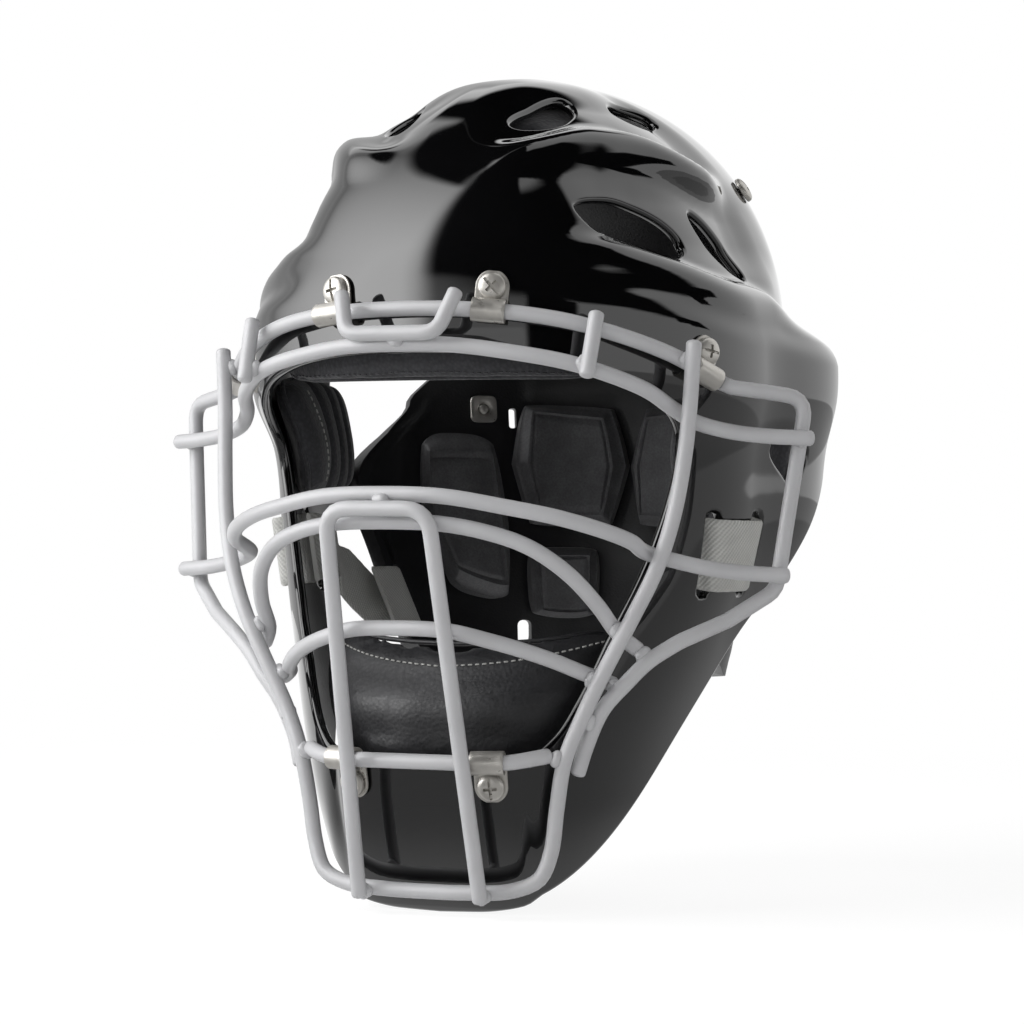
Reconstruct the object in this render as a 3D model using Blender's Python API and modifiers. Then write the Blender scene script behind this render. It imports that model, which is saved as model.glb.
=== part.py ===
"""Catcher's helmet: moulded shell, welded wire cage, hinged back plate, pads and elastic straps.

The frame is the head's: +Z up, the face looks along -Y, +X is the wearer's left, and the origin is
the middle of the head between the ear openings.  Lengths are millimetres until a mesh is made.
"""
import math

import bmesh
import bpy
from mathutils import Matrix, Vector

MM = 0.001
OBJECT_NAME = "catchers_mask"

# Shell: heights, wall and the plan of its horizontal sections
SHELL_TOP = 141.0
SHELL_SPRING = 45.0
FOREHEAD_RISE = 18.0
SHELL_LOW = -168.0
SHELL_WALL = 4.0
SHELL_BACK = 122.0
DOME_HALF_WIDTH = 88.0
FLARE = 13.0
SECTIONS = (  # height, half width, reach in front, squareness of the plan
    (45.0, 97.0, 101.5, 2.2),
    (25.0, 97.0, 99.0, 2.2),
    (5.0, 93.0, 84.0, 2.1),
    (-25.0, 90.0, 82.0, 2.1),
    (-60.0, 80.0, 88.0, 2.4),
    (-95.0, 69.0, 93.0, 2.75),
    (-125.0, 61.5, 87.0, 3.0),
    (-168.0, 51.0, 73.0, 3.0),
)
SHELL_SEGMENTS = 42
SHELL_RINGS = 27

# Face opening, half outline as (x, z) from the brow down to the chin lip
FACE_HALF = (
    (0.0, 38.0), (30.0, 37.0), (55.0, 33.0), (70.0, 26.5), (77.0, 16.0), (77.0, 4.0), (74.0, -11.0),
    (70.4, -25.0), (66.0, -39.0), (59.3, -57.0), (51.3, -79.0), (44.5, -92.0), (36.0, -98.5), (0.0, -99.5),
)
# Rear and lower edge of the shell, as (y, z) from the crown down to the chin
REAR_EDGE = (
    (62.0, 160.0), (62.0, 64.0), (45.0, 40.0), (43.0, -6.0), (22.0, -40.0), (-74.0, -150.0),
    (-82.0, -159.0), (-120.0, -160.0),
)
EDGE_ROUNDING = 12.0

# Wire cage
WIRE = 5.3
WIRE_STANDOFF = 4.8
WIRE_POINT_GAP = 10.0

# Clips and fasteners
CLIP_WIDTH = 11.5
CLIP_WIRE_GAP = 0.55
CLIP_SHELL_GAP = 0.5
CLIP_RISE = 8.3
CHIN_CLIP_RISE = 9.6
SHEET = 0.9
SCREW_HEAD = 9.6
SCREW_HEAD_HEIGHT = 2.8
SCREW_SHANK = 3.8
SCREW_PAST_NUT = 1.8
SHANK_PLAY = 0.5
SEAT_GAP = 0.3
NUT_BARREL = 6.2
NUT_BORE = 4.6
NUT_FLANGE = 13.0
NUT_FLANGE_THICK = 1.2
NUT_SETBACK = 2.4
CHIN_NUT_SETBACK = 4.2
HOLE = 7.2
TURNED_STEPS = 10

# Back plate and its pivots
PLATE_INSET = 8.0
PLATE_WING_INSET = 14.0
PLATE_THICK = 3.2
PLATE_LOW = -82.0
PLATE_HIGH = 127.0
PIVOT_Y = 45.0
PIVOT_Z = 102.0
PIVOT_NUT_GAP = 2.4
LINER_NUT_BEARING = 33.0
LINER_NUT_Z = 21.0
PLATE_VENTS = ((27.0, 18.0, 3.0, 8.0), (27.0, -66.0, 6.0, 10.0))  # degrees off the back, height, width, length

# Pads and straps
PAD_GAP = 1.0
BROW_PAD_GAP = 3.0
SIDE_PAD_GAP = 2.2
LINER_PAD_GAP = 2.0
CHIN_PAD_GAP = 9.0
STRAP_WIDTH = 25.4
STRAP_THICK = 1.6
SLOT_WIDTH = 5.4
SLOT_HEIGHT = 28.6
STRAP_Z = -31.0
FRONT_SLOT_Y = -33.0
REAR_SLOT_Y = -7.0
WING_SLOT_BEARING = 117.0
WING_SLOT_Z = -58.0
STRAP_INSIDE = 5.0
STRAP_UNDER_EDGE = ((3.0, -35.0), (9.0, -42.0))  # y and z where the strap lies inside the shell's rear edge


def step(value, low, high):
    """Rise from 0 at low to 1 at high with level ends."""
    t = min(1.0, max(0.0, (value - low) / (high - low)))
    return t * t * (3.0 - 2.0 * t)


def band(value, low, full, full_end, high):
    """Rise to 1 between low and full, and fall again between full_end and high."""
    return step(value, low, full) * (1.0 - step(value, full_end, high))


def section(z):
    """Half width, front reach and squareness of the shell's plan at height z."""
    rows = SECTIONS
    z = min(rows[0][0], max(rows[-1][0], z))
    i = 0
    while i < len(rows) - 2 and z < rows[i + 1][0]:
        i += 1
    before, here, there, after = rows[max(i - 1, 0)], rows[i], rows[i + 1], rows[min(i + 2, len(rows) - 1)]
    t = (z - here[0]) / (there[0] - here[0])
    span = there[0] - here[0]
    values = []
    for k in (1, 2, 3):
        m0 = span * (there[k] - before[k]) / (there[0] - before[0])
        m1 = span * (after[k] - here[k]) / (after[0] - here[0])
        values.append(
            (2 * t**3 - 3 * t**2 + 1) * here[k] + (t**3 - 2 * t**2 + t) * m0
            + (3 * t**2 - 2 * t**3) * there[k] + (t**3 - t**2) * m1
        )
    return values


def shell_radius(theta, z):
    """Distance of the shell's outer face from the vertical axis, at bearing theta from the front."""
    angle = abs(math.degrees(theta))
    side = abs(math.sin(theta))
    ahead = math.cos(theta)
    width, reach, square = section(z)
    ledge = 66.0 - 6.0 * step(angle, 50, 90) - 8.0 * step(angle, 90, 120)
    width += (DOME_HALF_WIDTH - SECTIONS[0][1]) * step(z, ledge - 10, ledge + 7)
    depth = reach if ahead > 0 else SHELL_BACK
    radius = ((side / width) ** square + (abs(ahead) / depth) ** square) ** (-1.0 / square)
    spring = SHELL_SPRING + FOREHEAD_RISE * (1.0 - step(angle, 15, 60))
    if z > spring:
        rise = min(1.0, (z - spring) / (SHELL_TOP - spring))
        power = 1.97 + 0.43 * step(angle, 100, 160)
        radius *= max(0.0, 1.0 - rise**power) ** (1.0 / power)
    radius += FLARE * band(angle, 82, 116, 124, 150) * band(z, -85, -10, 36, 58)
    radius -= 3.5 * band(angle, 30, 52, 100, 125) * band(z, 66, 80, 92, 106)
    chin = 1.0 - step(abs(radius * math.sin(theta)), 30, 37)
    radius += 2.2 * chin * (1.0 - step(z, -100, -90)) * step(ahead, 0.2, 0.5) * step(z, -158, -148)
    return radius


def height(latitude):
    """Height of a ring of the shell, from its latitude on a sphere."""
    if latitude > 0:
        return SHELL_SPRING + (SHELL_TOP - SHELL_SPRING) * math.sin(latitude)
    return SHELL_SPRING + (SHELL_SPRING - SHELL_LOW) * latitude / math.radians(80)


def latitude_at(z):
    """Latitude of the ring at height z."""
    if z > SHELL_SPRING:
        return math.asin(min(1.0, (z - SHELL_SPRING) / (SHELL_TOP - SHELL_SPRING)))
    return (z - SHELL_SPRING) / (SHELL_SPRING - SHELL_LOW) * math.radians(80)


def ring_point(theta, latitude):
    z = height(latitude)
    radius = shell_radius(theta, z)
    return Vector((radius * math.sin(theta), -radius * math.cos(theta), z))


def shell_normal(theta, z):
    """Outward normal of the shell's outer face."""
    small = 0.012
    latitude = min(latitude_at(z), math.radians(88))
    across = ring_point(theta + small, latitude) - ring_point(theta - small, latitude)
    up = ring_point(theta, latitude + small) - ring_point(theta, latitude - small)
    return across.cross(up).normalized()


def shell_point(theta, z, out=0.0):
    """Point of the shell's outer face, moved outward by out."""
    return ring_point(theta, latitude_at(z)) + shell_normal(theta, z) * out


def bearing_at(z, axis, target):
    """Bearing on the wearer's left where the shell's x (axis 0) or y (axis 1) at height z reaches target."""
    low, high = 0.0, math.pi if axis else math.radians(88)
    for _ in range(40):
        middle = 0.5 * (low + high)
        if shell_point(middle, z)[axis] < target:
            low = middle
        else:
            high = middle
    return 0.5 * (low + high)


def mirrored(points):
    """A half path given from the middle outwards, with its other half in front of it."""
    return [Vector((-p[0], p[1], p[2])) for p in reversed(points[1:])] + [Vector(p) for p in points]


def smooth_path(points, spacing):
    """Points of a smooth curve through the given ones, about spacing apart."""
    points = [Vector(p) for p in points]
    ends = [points[0] * 2 - points[1]] + points + [points[-1] * 2 - points[-2]]
    path = [points[0]]
    for a, b, c, d in zip(ends, ends[1:], ends[2:], ends[3:]):
        count = max(1, round((c - b).length / spacing))
        t0, t1 = 0.0, math.sqrt((b - a).length)
        t2 = t1 + math.sqrt((c - b).length)
        t3 = t2 + math.sqrt((d - c).length)
        for k in range(1, count + 1):
            t = t1 + (t2 - t1) * k / count
            ab = a.lerp(b, (t - t0) / (t1 - t0))
            bc = b.lerp(c, (t - t1) / (t2 - t1))
            cd = c.lerp(d, (t - t2) / (t3 - t2))
            path.append(ab.lerp(bc, (t - t0) / (t2 - t0)).lerp(bc.lerp(cd, (t - t1) / (t3 - t1)), (t - t1) / (t2 - t1)))
    return path


def rounded_path(points, radius, steps=5, closed=False):
    """Straight runs between the points, each inner corner replaced by an arc of about radius."""
    points = [Vector(p) for p in points]
    count = len(points)
    path = []
    for i, corner in enumerate(points):
        if not closed and i in (0, count - 1):
            path.append(corner)
            continue
        before, after = points[i - 1], points[(i + 1) % count]
        back, ahead = before - corner, after - corner
        half = back.angle(ahead) / 2.0
        trim = min(radius / math.tan(half), 0.45 * back.length, 0.45 * ahead.length)
        start = corner + back.normalized() * trim
        end = corner + ahead.normalized() * trim
        for k in range(steps + 1):
            t = k / steps
            path.append(start.lerp(corner, t).lerp(corner.lerp(end, t), t))
    return path


def empty_scene():
    for item in list(bpy.data.objects):
        bpy.data.objects.remove(item, do_unlink=True)


def new_collection(name):
    group = bpy.data.collections.new(name)
    bpy.context.scene.collection.children.link(group)
    return group


empty_scene()
PARTS = new_collection(OBJECT_NAME)
CUTTERS = new_collection("cutters")


def material(name, colour, roughness, metallic=0.0):
    made = bpy.data.materials.get(name) or bpy.data.materials.new(name)
    made.use_nodes = True
    shader = made.node_tree.nodes["Principled BSDF"]
    shader.inputs["Base Color"].default_value = (*colour, 1.0)
    shader.inputs["Roughness"].default_value = roughness
    shader.inputs["Metallic"].default_value = metallic
    return made


LOOKS = {
    "gloss_black": ((0.008, 0.008, 0.009), 0.08, 0.0),
    "plate_black": ((0.012, 0.012, 0.013), 0.3, 0.0),
    "cage_grey": ((0.50, 0.50, 0.51), 0.35, 0.0),
    "nickel": ((0.72, 0.71, 0.69), 0.18, 1.0),
    "pad_charcoal": ((0.022, 0.022, 0.024), 0.9, 0.0),
    "pad_vinyl": ((0.010, 0.010, 0.011), 0.45, 0.0),
    "elastic_grey": ((0.42, 0.42, 0.42), 0.85, 0.0),
}


def add_object(name, mesh, look):
    """Put a mesh in the model as a named piece of its own, shaded smooth with crisp edges."""
    item = bpy.data.objects.new(name, mesh)
    PARTS.objects.link(item)
    mesh.materials.append(material(name + "_" + look, *LOOKS[look]))
    mesh.shade_smooth()
    mesh.set_sharp_from_angle(angle=math.radians(40))
    return item


def mesh_from(bm, name, scale=MM):
    """Finish a bmesh made in millimetres as a mesh in metres."""
    bmesh.ops.scale(bm, vec=(scale, scale, scale), verts=bm.verts)
    bmesh.ops.recalc_face_normals(bm, faces=bm.faces)
    mesh = bpy.data.meshes.new(name)
    bm.to_mesh(mesh)
    bm.free()
    return mesh


def add_cutter(name, mesh):
    item = bpy.data.objects.new(name, mesh)
    CUTTERS.objects.link(item)
    item.hide_render = True
    item.display_type = "WIRE"
    return item


def cut(item, cutter):
    boolean = item.modifiers.new(cutter.name, "BOOLEAN")
    boolean.operation = "DIFFERENCE"
    boolean.solver = "EXACT"
    boolean.object = cutter


def curve_mesh(name, paths, closed=False, bevel=0.0, extrude=0.0):
    """Mesh of a curve: a round wire along 3D paths, or a flat filled outline with a thickness."""
    curve = bpy.data.curves.new(name, "CURVE")
    curve.dimensions = "2D" if extrude else "3D"
    for path in paths:
        spline = curve.splines.new("POLY")
        spline.points.add(len(path) - 1)
        for point, place in zip(spline.points, path):
            point.co = (place[0] * MM, place[1] * MM, (0.0 if extrude else place[2]) * MM, 1.0)
        spline.use_cyclic_u = closed
    if extrude:
        curve.fill_mode = "BOTH"
        curve.extrude = extrude * MM
    else:
        curve.bevel_depth = bevel * MM
        curve.bevel_resolution = 2
        curve.use_fill_caps = True
    holder = bpy.data.objects.new(name, curve)
    CUTTERS.objects.link(holder)
    bpy.context.view_layer.update()
    mesh = bpy.data.meshes.new_from_object(holder.evaluated_get(bpy.context.evaluated_depsgraph_get()))
    bpy.data.objects.remove(holder, do_unlink=True)
    bm = bmesh.new()
    bm.from_mesh(mesh)
    bpy.data.meshes.remove(mesh)
    bmesh.ops.remove_doubles(bm, verts=bm.verts, dist=1e-6)
    return mesh_from(bm, name, 1.0)


def add_turned(name, profile, look):
    """A turned piece: (radius, height) points that run down its outer side, swept round by a Screw modifier."""
    verts = [(r * MM, 0.0, z * MM) for r, z in profile]
    edges = [(i, i + 1) for i in range(len(verts) - 1)]
    if profile[0][0] > 0:
        edges.append((len(verts) - 1, 0))
    mesh = bpy.data.meshes.new(name)
    mesh.from_pydata(verts, edges, [])
    item = add_object(name, mesh, look)
    turn = item.modifiers.new("turn", "SCREW")
    turn.steps = TURNED_STEPS
    turn.render_steps = TURNED_STEPS
    turn.use_merge_vertices = True
    turn.merge_threshold = 1e-5
    return item


def placed(item, origin, axis, around=Vector((0, 0, 1))):
    """Stand an object's own Z along axis, with its X as near as can be to around."""
    z = Vector(axis).normalized()
    y = z.cross(around).normalized()
    x = y.cross(z)
    item.matrix_world = Matrix.Translation(Vector(origin) * MM) @ Matrix((x, y, z)).transposed().to_4x4()
    return item


def head_form(name, inset):
    """The whole head form as a closed mesh: a sphere whose rings take the shell's sections."""
    bm = bmesh.new()
    bmesh.ops.create_uvsphere(bm, u_segments=SHELL_SEGMENTS, v_segments=SHELL_RINGS, radius=1.0)
    for vert in bm.verts:
        latitude = math.asin(max(-1.0, min(1.0, vert.co.z)))
        theta = math.atan2(vert.co.x, -vert.co.y)
        if latitude > math.radians(89.5):
            vert.co = Vector((0, 0, SHELL_TOP - inset))
        elif latitude < -math.radians(89.5):
            vert.co = Vector((0, -20, SHELL_LOW + inset - 6))
        else:
            z = height(max(latitude, -math.radians(80)))
            shrink = 1.0 if latitude > -math.radians(80) else 0.5
            place = shell_point(theta, z, -inset)
            vert.co = Vector((place.x * shrink, place.y * shrink, place.z))
    return mesh_from(bm, name)


def lift_copy(bm):
    """Extrude every face of a flat bmesh to height 1, which makes it a closed slab."""
    lifted = bmesh.ops.extrude_face_region(bm, geom=bm.faces[:])["geom"]
    bmesh.ops.translate(bm, vec=(0, 0, 1), verts=[g for g in lifted if isinstance(g, bmesh.types.BMVert)])


def punch(name, outline, inward=14.0, outward=14.0):
    """Cutter through the shell along its normals: a drum whose rims take an outline of (bearing, height)."""
    count = len(outline)
    bm = bmesh.new()
    bmesh.ops.create_circle(bm, cap_ends=True, cap_tris=True, segments=count, radius=1.0)
    lift_copy(bm)
    rims = [[shell_point(theta, z, out) for theta, z in outline] for out in (-inward, outward)]
    middles = [sum(rim, Vector()) / count for rim in rims]
    for vert in bm.verts:
        level = int(vert.co.z > 0.5)
        index = round(math.atan2(vert.co.y, vert.co.x) / (2 * math.pi) * count) % count
        on_rim = math.hypot(vert.co.x, vert.co.y) > 0.5
        vert.co = rims[level][index] if on_rim else middles[level]
    bmesh.ops.triangulate(bm, faces=bm.faces)
    return add_cutter(name, mesh_from(bm, name))


def both_sides(name, outline, **depths):
    """The same punch on the wearer's left and, mirrored, on the right."""
    right = [(-theta, z) for theta, z in reversed(outline)]
    return [punch(name + "_left", outline, **depths), punch(name + "_right", right, **depths)]


def oval(theta_a, z_a, theta_b, z_b, half_width, count=14, taper=1.0):
    """Outline of a long vent from one end to the other; taper over 1 draws its ends to points."""
    a, b = math.radians(theta_a), math.radians(theta_b)
    start, end = shell_point(a, z_a), shell_point(b, z_b)
    length = (end - start).length
    outline = []
    for k in range(count):
        turn = 2 * math.pi * k / count
        along = 0.5 - 0.5 * math.cos(turn)
        across = half_width * math.copysign(abs(math.sin(turn)) ** taper, math.sin(turn))
        theta = a + (b - a) * along
        z = z_a + (z_b - z_a) * along
        radius = max(20.0, shell_radius(theta, z))
        lean = math.atan2(z_b - z_a, length)
        outline.append((theta - across * math.sin(lean) / radius, z + across * math.cos(lean)))
    return outline


def face_outline():
    points = smooth_path([(x, 0.0, z) for x, z in FACE_HALF], 9.0)
    half = [(bearing_at(p.z, 0, p.x), p.z) for p in points]
    half[0] = (0.0, half[0][1])
    half[-1] = (0.0, half[-1][1])
    return half + [(-theta, z) for theta, z in reversed(half[1:-1])]


def slot_outline(y_middle):
    """Strap slot: a tall rounded opening whose long side follows the cheek."""
    outline = []
    for corner_y, corner_z in ((-1, 1), (1, 1), (1, -1), (-1, -1)):
        for turn in ((0, 1), (1, 0)) if corner_y * corner_z > 0 else ((1, 0), (0, 1)):
            y = y_middle + corner_y * (SLOT_WIDTH / 2 - 1.2 * turn[1])
            z = STRAP_Z + corner_z * (SLOT_HEIGHT / 2 - 1.2 * turn[0])
            outline.append((bearing_at(z, 1, y), z))
    return outline


def ear_outline():
    corners = [(-7.0, 8.5), (25.0, 7.5), (15.0, -8.5)]
    points = rounded_path([(y, z, 0.0) for y, z in corners], 5.0, steps=3, closed=True)
    return [(bearing_at(p.y, 1, p.x), p.y) for p in points]


class ClipSite:
    """Where a clip on the wearer's left sits: the wire's point, and the axes out of the shell and along the tab."""

    def __init__(self, path, bearing, tab_up, rise):
        target = math.radians(bearing)
        turns = [math.atan2(p.x, -p.y) for p in path]
        i = next(k for k in range(len(path) - 1) if turns[k] <= target < turns[k + 1])
        self.wire = path[i].lerp(path[i + 1], (target - turns[i]) / (turns[i + 1] - turns[i]))
        along = (path[i + 1] - path[i]).normalized()
        guess = self.wire + Vector((0, 0, tab_up * rise))
        theta = math.atan2(guess.x, -guess.y)
        out = shell_normal(theta, guess.z)
        self.out = (out - along * out.dot(along)).normalized()
        self.tab = self.out.cross(along).normalized()
        if self.tab.z * tab_up < 0:
            self.tab.negate()
        self.axis_point = self.wire + self.tab * rise
        seat = shell_point(math.atan2(self.axis_point.x, -self.axis_point.y), self.axis_point.z)
        self.drop = (self.axis_point - seat).dot(self.out)
        self.reach = rise + SCREW_HEAD / 2 + 0.6
        self.setback = NUT_SETBACK if tab_up > 0 else CHIN_NUT_SETBACK


def clip_sites():
    paths = cage_paths()
    return {
        "forehead": ClipSite(paths["top_wire"], 15.8, 1, CLIP_RISE),
        "temple": ClipSite(paths["top_wire"], 57.8, 1, CLIP_RISE),
        "chin": ClipSite(paths["chin_bar"], 15.2, -1, CHIN_CLIP_RISE),
    }


def flipped(vector, sign):
    """The same point or direction on the wearer's left (sign 1) or right (sign -1)."""
    return Vector((vector.x * sign, vector.y, vector.z))


SIDES = (("left", 1), ("right", -1))


def drill(name, place, axis, radius, depth=30.0):
    bm = bmesh.new()
    bmesh.ops.create_cone(bm, cap_ends=True, segments=12, radius1=radius, radius2=radius, depth=depth)
    return placed(add_cutter(name, mesh_from(bm, name)), place, axis)


def pivot_line(sign):
    """Centre of the back plate's pivot hole on one side, and the direction of its screw out of the shell."""
    theta = bearing_at(PIVOT_Z, 1, PIVOT_Y)
    place = plate_point(theta, PIVOT_Z, PLATE_THICK / 2)
    return flipped(place, sign), flipped(shell_normal(theta, PIVOT_Z), sign)


def build_shell():
    shell = add_object("front_shell", head_form("front_shell", 0.0), "gloss_black")
    cut(shell, add_cutter("head_space", head_form("head_space", SHELL_WALL)))
    cut(shell, punch("face_opening", face_outline(), inward=16.0, outward=30.0))
    edge = [(y, z, 0.0) for y, z in REAR_EDGE]
    rear = rounded_path(edge, EDGE_ROUNDING)
    rear += [Vector(p) for p in ((-120.0, -200.0, 0.0), (200.0, -200.0, 0.0), (200.0, 160.0, 0.0))]
    rear_cutter = add_cutter("rear_space", curve_mesh("rear_space", [rear], closed=True, extrude=150.0))
    rear_cutter.matrix_world = Matrix(((0, 0, 1, 0), (1, 0, 0, 0), (0, 1, 0, 0), (0, 0, 0, 1)))
    cut(shell, rear_cutter)
    cutters = both_sides("almond_vent", oval(34, 90, 66, 79, 7.5, taper=1.3))
    cutters += both_sides("slot_vent", oval(75, 91, 93, 70, 5.5))
    cutters += both_sides("crown_vent", oval(18, 120, 44, 129, 5.0))
    cutters += both_sides("rear_crown_vent", oval(72, 128, 104, 127, 4.5))
    cutters += both_sides("ear_opening", ear_outline())
    cutters += both_sides("front_slot", slot_outline(FRONT_SLOT_Y))
    cutters += both_sides("rear_slot", slot_outline(REAR_SLOT_Y))
    for side, sign in SIDES:
        for name, site in clip_sites().items():
            place, axis = flipped(site.axis_point, sign), flipped(site.out, sign)
            cutters.append(drill(f"{name}_hole_{side}", place, axis, HOLE / 2))
        place, axis = pivot_line(sign)
        cutters.append(drill(f"pivot_hole_{side}", place, axis, SCREW_SHANK / 2 + SHANK_PLAY))
    for cutter in cutters:
        cut(shell, cutter)


def top_wire_height(theta):
    """Height of the top wire where it follows the forehead: level in front and dipping to the temples."""
    turn = math.sin(theta) ** 2
    return 52.8 - 13.1 * turn - 23.5 * turn**2


def cage_paths():
    """Centre lines of the cage's wires, each whole from the wearer's right to the left."""
    brow = []
    for degrees in (0, 10, 20, 30, 40, 50, 61.5):
        theta = math.radians(degrees)
        brow.append(shell_point(theta, top_wire_height(theta), WIRE_STANDOFF))
    guard = [(96.5, -50.3, 26.6), (105.0, -44.4, 25.3), (118.5, -35.5, 23.0), (111.0, -45.5, -42.5)]
    arm = [(98.0, -57.5, -52.5), (84.5, -68.5, -59.5), (75.5, -74.0, -66.0), (69.0, -77.3, -73.0)]
    tail = [(60.8, -79.4, -82.5), (55.0, -79.6, -95.0), (52.4, -80.8, -104.0)]
    gap = WIRE_POINT_GAP
    top = smooth_path(brow, gap) + rounded_path(guard + arm[:1], 8.0, 4) + smooth_path(arm[1:] + tail, gap)
    brow_bar = [
        (0, -113.0, 40.5), (20, -111.6, 40.0), (40, -106.0, 37.3), (55, -98.8, 34.3), (66, -90.0, 30.5),
        (76, -77.0, 25.0), (80.6, -66.5, 19.6), (86.5, -59.5, 14.8), (97, -53.5, 11.5), (108, -48.3, 10.0),
        (122, -41.5, 9.2),
    ]
    perimeter = [
        (0, -90.0, -145.5), (16, -89.6, -145.3), (31, -88.0, -144.2), (40.5, -86.2, -140.0), (44.3, -85.0, -131.0),
        (46.5, -85.3, -116.0), (49.5, -85.8, -100.0), (55, -84.6, -86.0), (63.5, -84.5, -69.0), (72.5, -83.2, -52.0),
        (80, -79.2, -35.0), (84.6, -75.0, -17.0), (87.2, -71.0, 4.0), (88.2, -69.0, 20.0), (89.4, -68.2, 41.0),
    ]
    eye_bar = [
        (0, -125.3, -9.6), (22, -123.8, -10.4), (42, -117.5, -14.0), (56, -109.8, -17.2), (68, -99.0, -21.6),
        (74.4, -87.0, -25.8), (74.5, -78.8, -28.6), (76.0, -72.8, -30.2), (80.2, -67.8, -31.8), (90, -62.0, -34.5),
        (102, -55.8, -36.4),
        (115.8, -49.0, -37.4),
    ]
    arch = [
        (0, -122.2, -18.8), (20, -121.0, -19.5), (35, -117.0, -22.4), (47, -110.8, -27.2), (57, -101.5, -36.0),
        (63.0, -89.6, -47.0), (66.0, -78.0, -57.0), (70.6, -72.0, -62.3),
    ]
    mid_bar = [
        (0, -112.4, -54.6), (18, -111.2, -55.4), (30, -106.8, -58.4), (39, -101.4, -61.4), (48, -93.4, -65.4),
        (55, -84.0, -69.8), (58, -77.4, -72.0), (62.3, -73.4, -74.2),
    ]
    chin_bar = [
        (0, -101.3, -100.2), (10, -101.1, -100.2), (20.5, -99.9, -100.3), (33, -97.0, -100.0), (40, -92.6, -98.9),
        (44.4, -88.2, -98.0),
    ]
    nose = [(22.6, -95.4, -147.0), (18.7, -129.6, -14.4), (-18.7, -129.6, -14.4), (-22.6, -95.4, -147.0)]
    forehead_u = [(21.0, -112.2, 57.5), (16.8, -118.0, 44.0), (-16.8, -118.0, 44.0), (-21.0, -112.2, 57.5)]
    strut = [(64.3, -94.0, 50.0), (63.6, -101.0, 30.0)]
    return {
        "top_wire": mirrored(top),
        "brow_bar": smooth_path(mirrored(brow_bar), gap),
        "perimeter_wire": smooth_path(mirrored(perimeter), gap),
        "eye_bar": smooth_path(mirrored(eye_bar), gap),
        "arch_wire": smooth_path(mirrored(arch), gap),
        "mid_bar": smooth_path(mirrored(mid_bar), gap),
        "chin_bar": smooth_path(mirrored(chin_bar), gap),
        "nose_wire": rounded_path(nose, 9.0),
        "forehead_u": rounded_path(forehead_u, 6.0),
        "strut_left": [Vector(p) for p in strut],
        "strut_right": [Vector((-p[0], p[1], p[2])) for p in strut],
    }


def build_cage():
    for name, path in cage_paths().items():
        add_object(name, curve_mesh(name, [path], bevel=WIRE / 2), "cage_grey")


def clip_outline(reach, depth):
    """Side view of a bent sheet clip: it wraps the wire at the origin, and its tab runs along +Y."""
    inner = WIRE / 2 + CLIP_WIRE_GAP
    outer = inner + SHEET
    turns = [math.radians(-90 + 285 * k / 12) for k in range(13)]
    loop_out = [(outer * math.sin(t), -outer * math.cos(t)) for t in turns]
    loop_in = [(inner * math.sin(t), -inner * math.cos(t)) for t in reversed(turns)]
    tab = [(-depth - SHEET, reach), (-depth - SHEET, 1.0)]
    back = [(-depth, inner + 1.0), (-depth, reach)]
    return tab + loop_out + loop_in + back


def add_fastener(name, length, barrel, place, axis, head_at, nut_at):
    """A screw and its nut on one line: head_at and nut_at are measured from place along axis."""
    screw = add_turned("screw_" + name, screw_profile(length), "nickel")
    nut = add_turned("nut_" + name, nut_profile(barrel), "nickel")
    return [placed(screw, place + axis * head_at, axis), placed(nut, place + axis * nut_at, axis)]


def build_clips():
    """Six sheet clips, each with its screw outside the shell and its flanged nut inside."""
    for name, site in clip_sites().items():
        depth = site.drop - SHEET - CLIP_SHELL_GAP
        outline = [(x, y, 0.0) for x, y in clip_outline(site.reach, depth)]
        for side, sign in SIDES:
            label = f"{name}_{side}"
            out, tab = flipped(site.out, sign), flipped(site.tab, sign)
            bent = curve_mesh("clip", [outline], closed=True, extrude=CLIP_WIDTH / 2)
            clip = add_object("clip_" + label, bent, "nickel")
            frame = Matrix((out, tab, out.cross(tab))).transposed().to_4x4()
            clip.matrix_world = Matrix.Translation(flipped(site.wire, sign) * MM) @ frame
            place = flipped(site.axis_point, sign)
            hole_radius = SCREW_SHANK / 2 + SHANK_PLAY
            cut(clip, drill("clip_hole_" + label, place - out * (depth + SHEET / 2), out, hole_radius, 6.0))
            head_at = SEAT_GAP - depth
            nut_at = -site.drop - SHELL_WALL - site.setback
            add_fastener(label, head_at - nut_at + SCREW_PAST_NUT, SHELL_WALL, place, out, head_at, nut_at)


def screw_profile(shank):
    """Truss-head screw: its seat is at height 0, the dome above and the shank below."""
    radius = SCREW_HEAD / 2
    dome = [(0.0, SCREW_HEAD_HEIGHT)]
    for k in range(1, 4):
        t = math.radians(90 * k / 3)
        dome.append((radius * math.sin(t), 0.5 + (SCREW_HEAD_HEIGHT - 0.5) * math.cos(t)))
    return dome + [(radius, 0.0), (SCREW_SHANK / 2, 0.0), (SCREW_SHANK / 2, -shank), (0.0, -shank)]


def nut_profile(height_of_barrel):
    """Flanged nut: its barrel stands in the hole, its flange lies inside; height 0 is the flange's face."""
    bore, barrel, flange = NUT_BORE / 2, NUT_BARREL / 2, NUT_FLANGE / 2
    low = -NUT_FLANGE_THICK
    return [(bore, height_of_barrel), (barrel, height_of_barrel), (barrel, 0), (flange, 0), (flange, low), (bore, low)]


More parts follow.
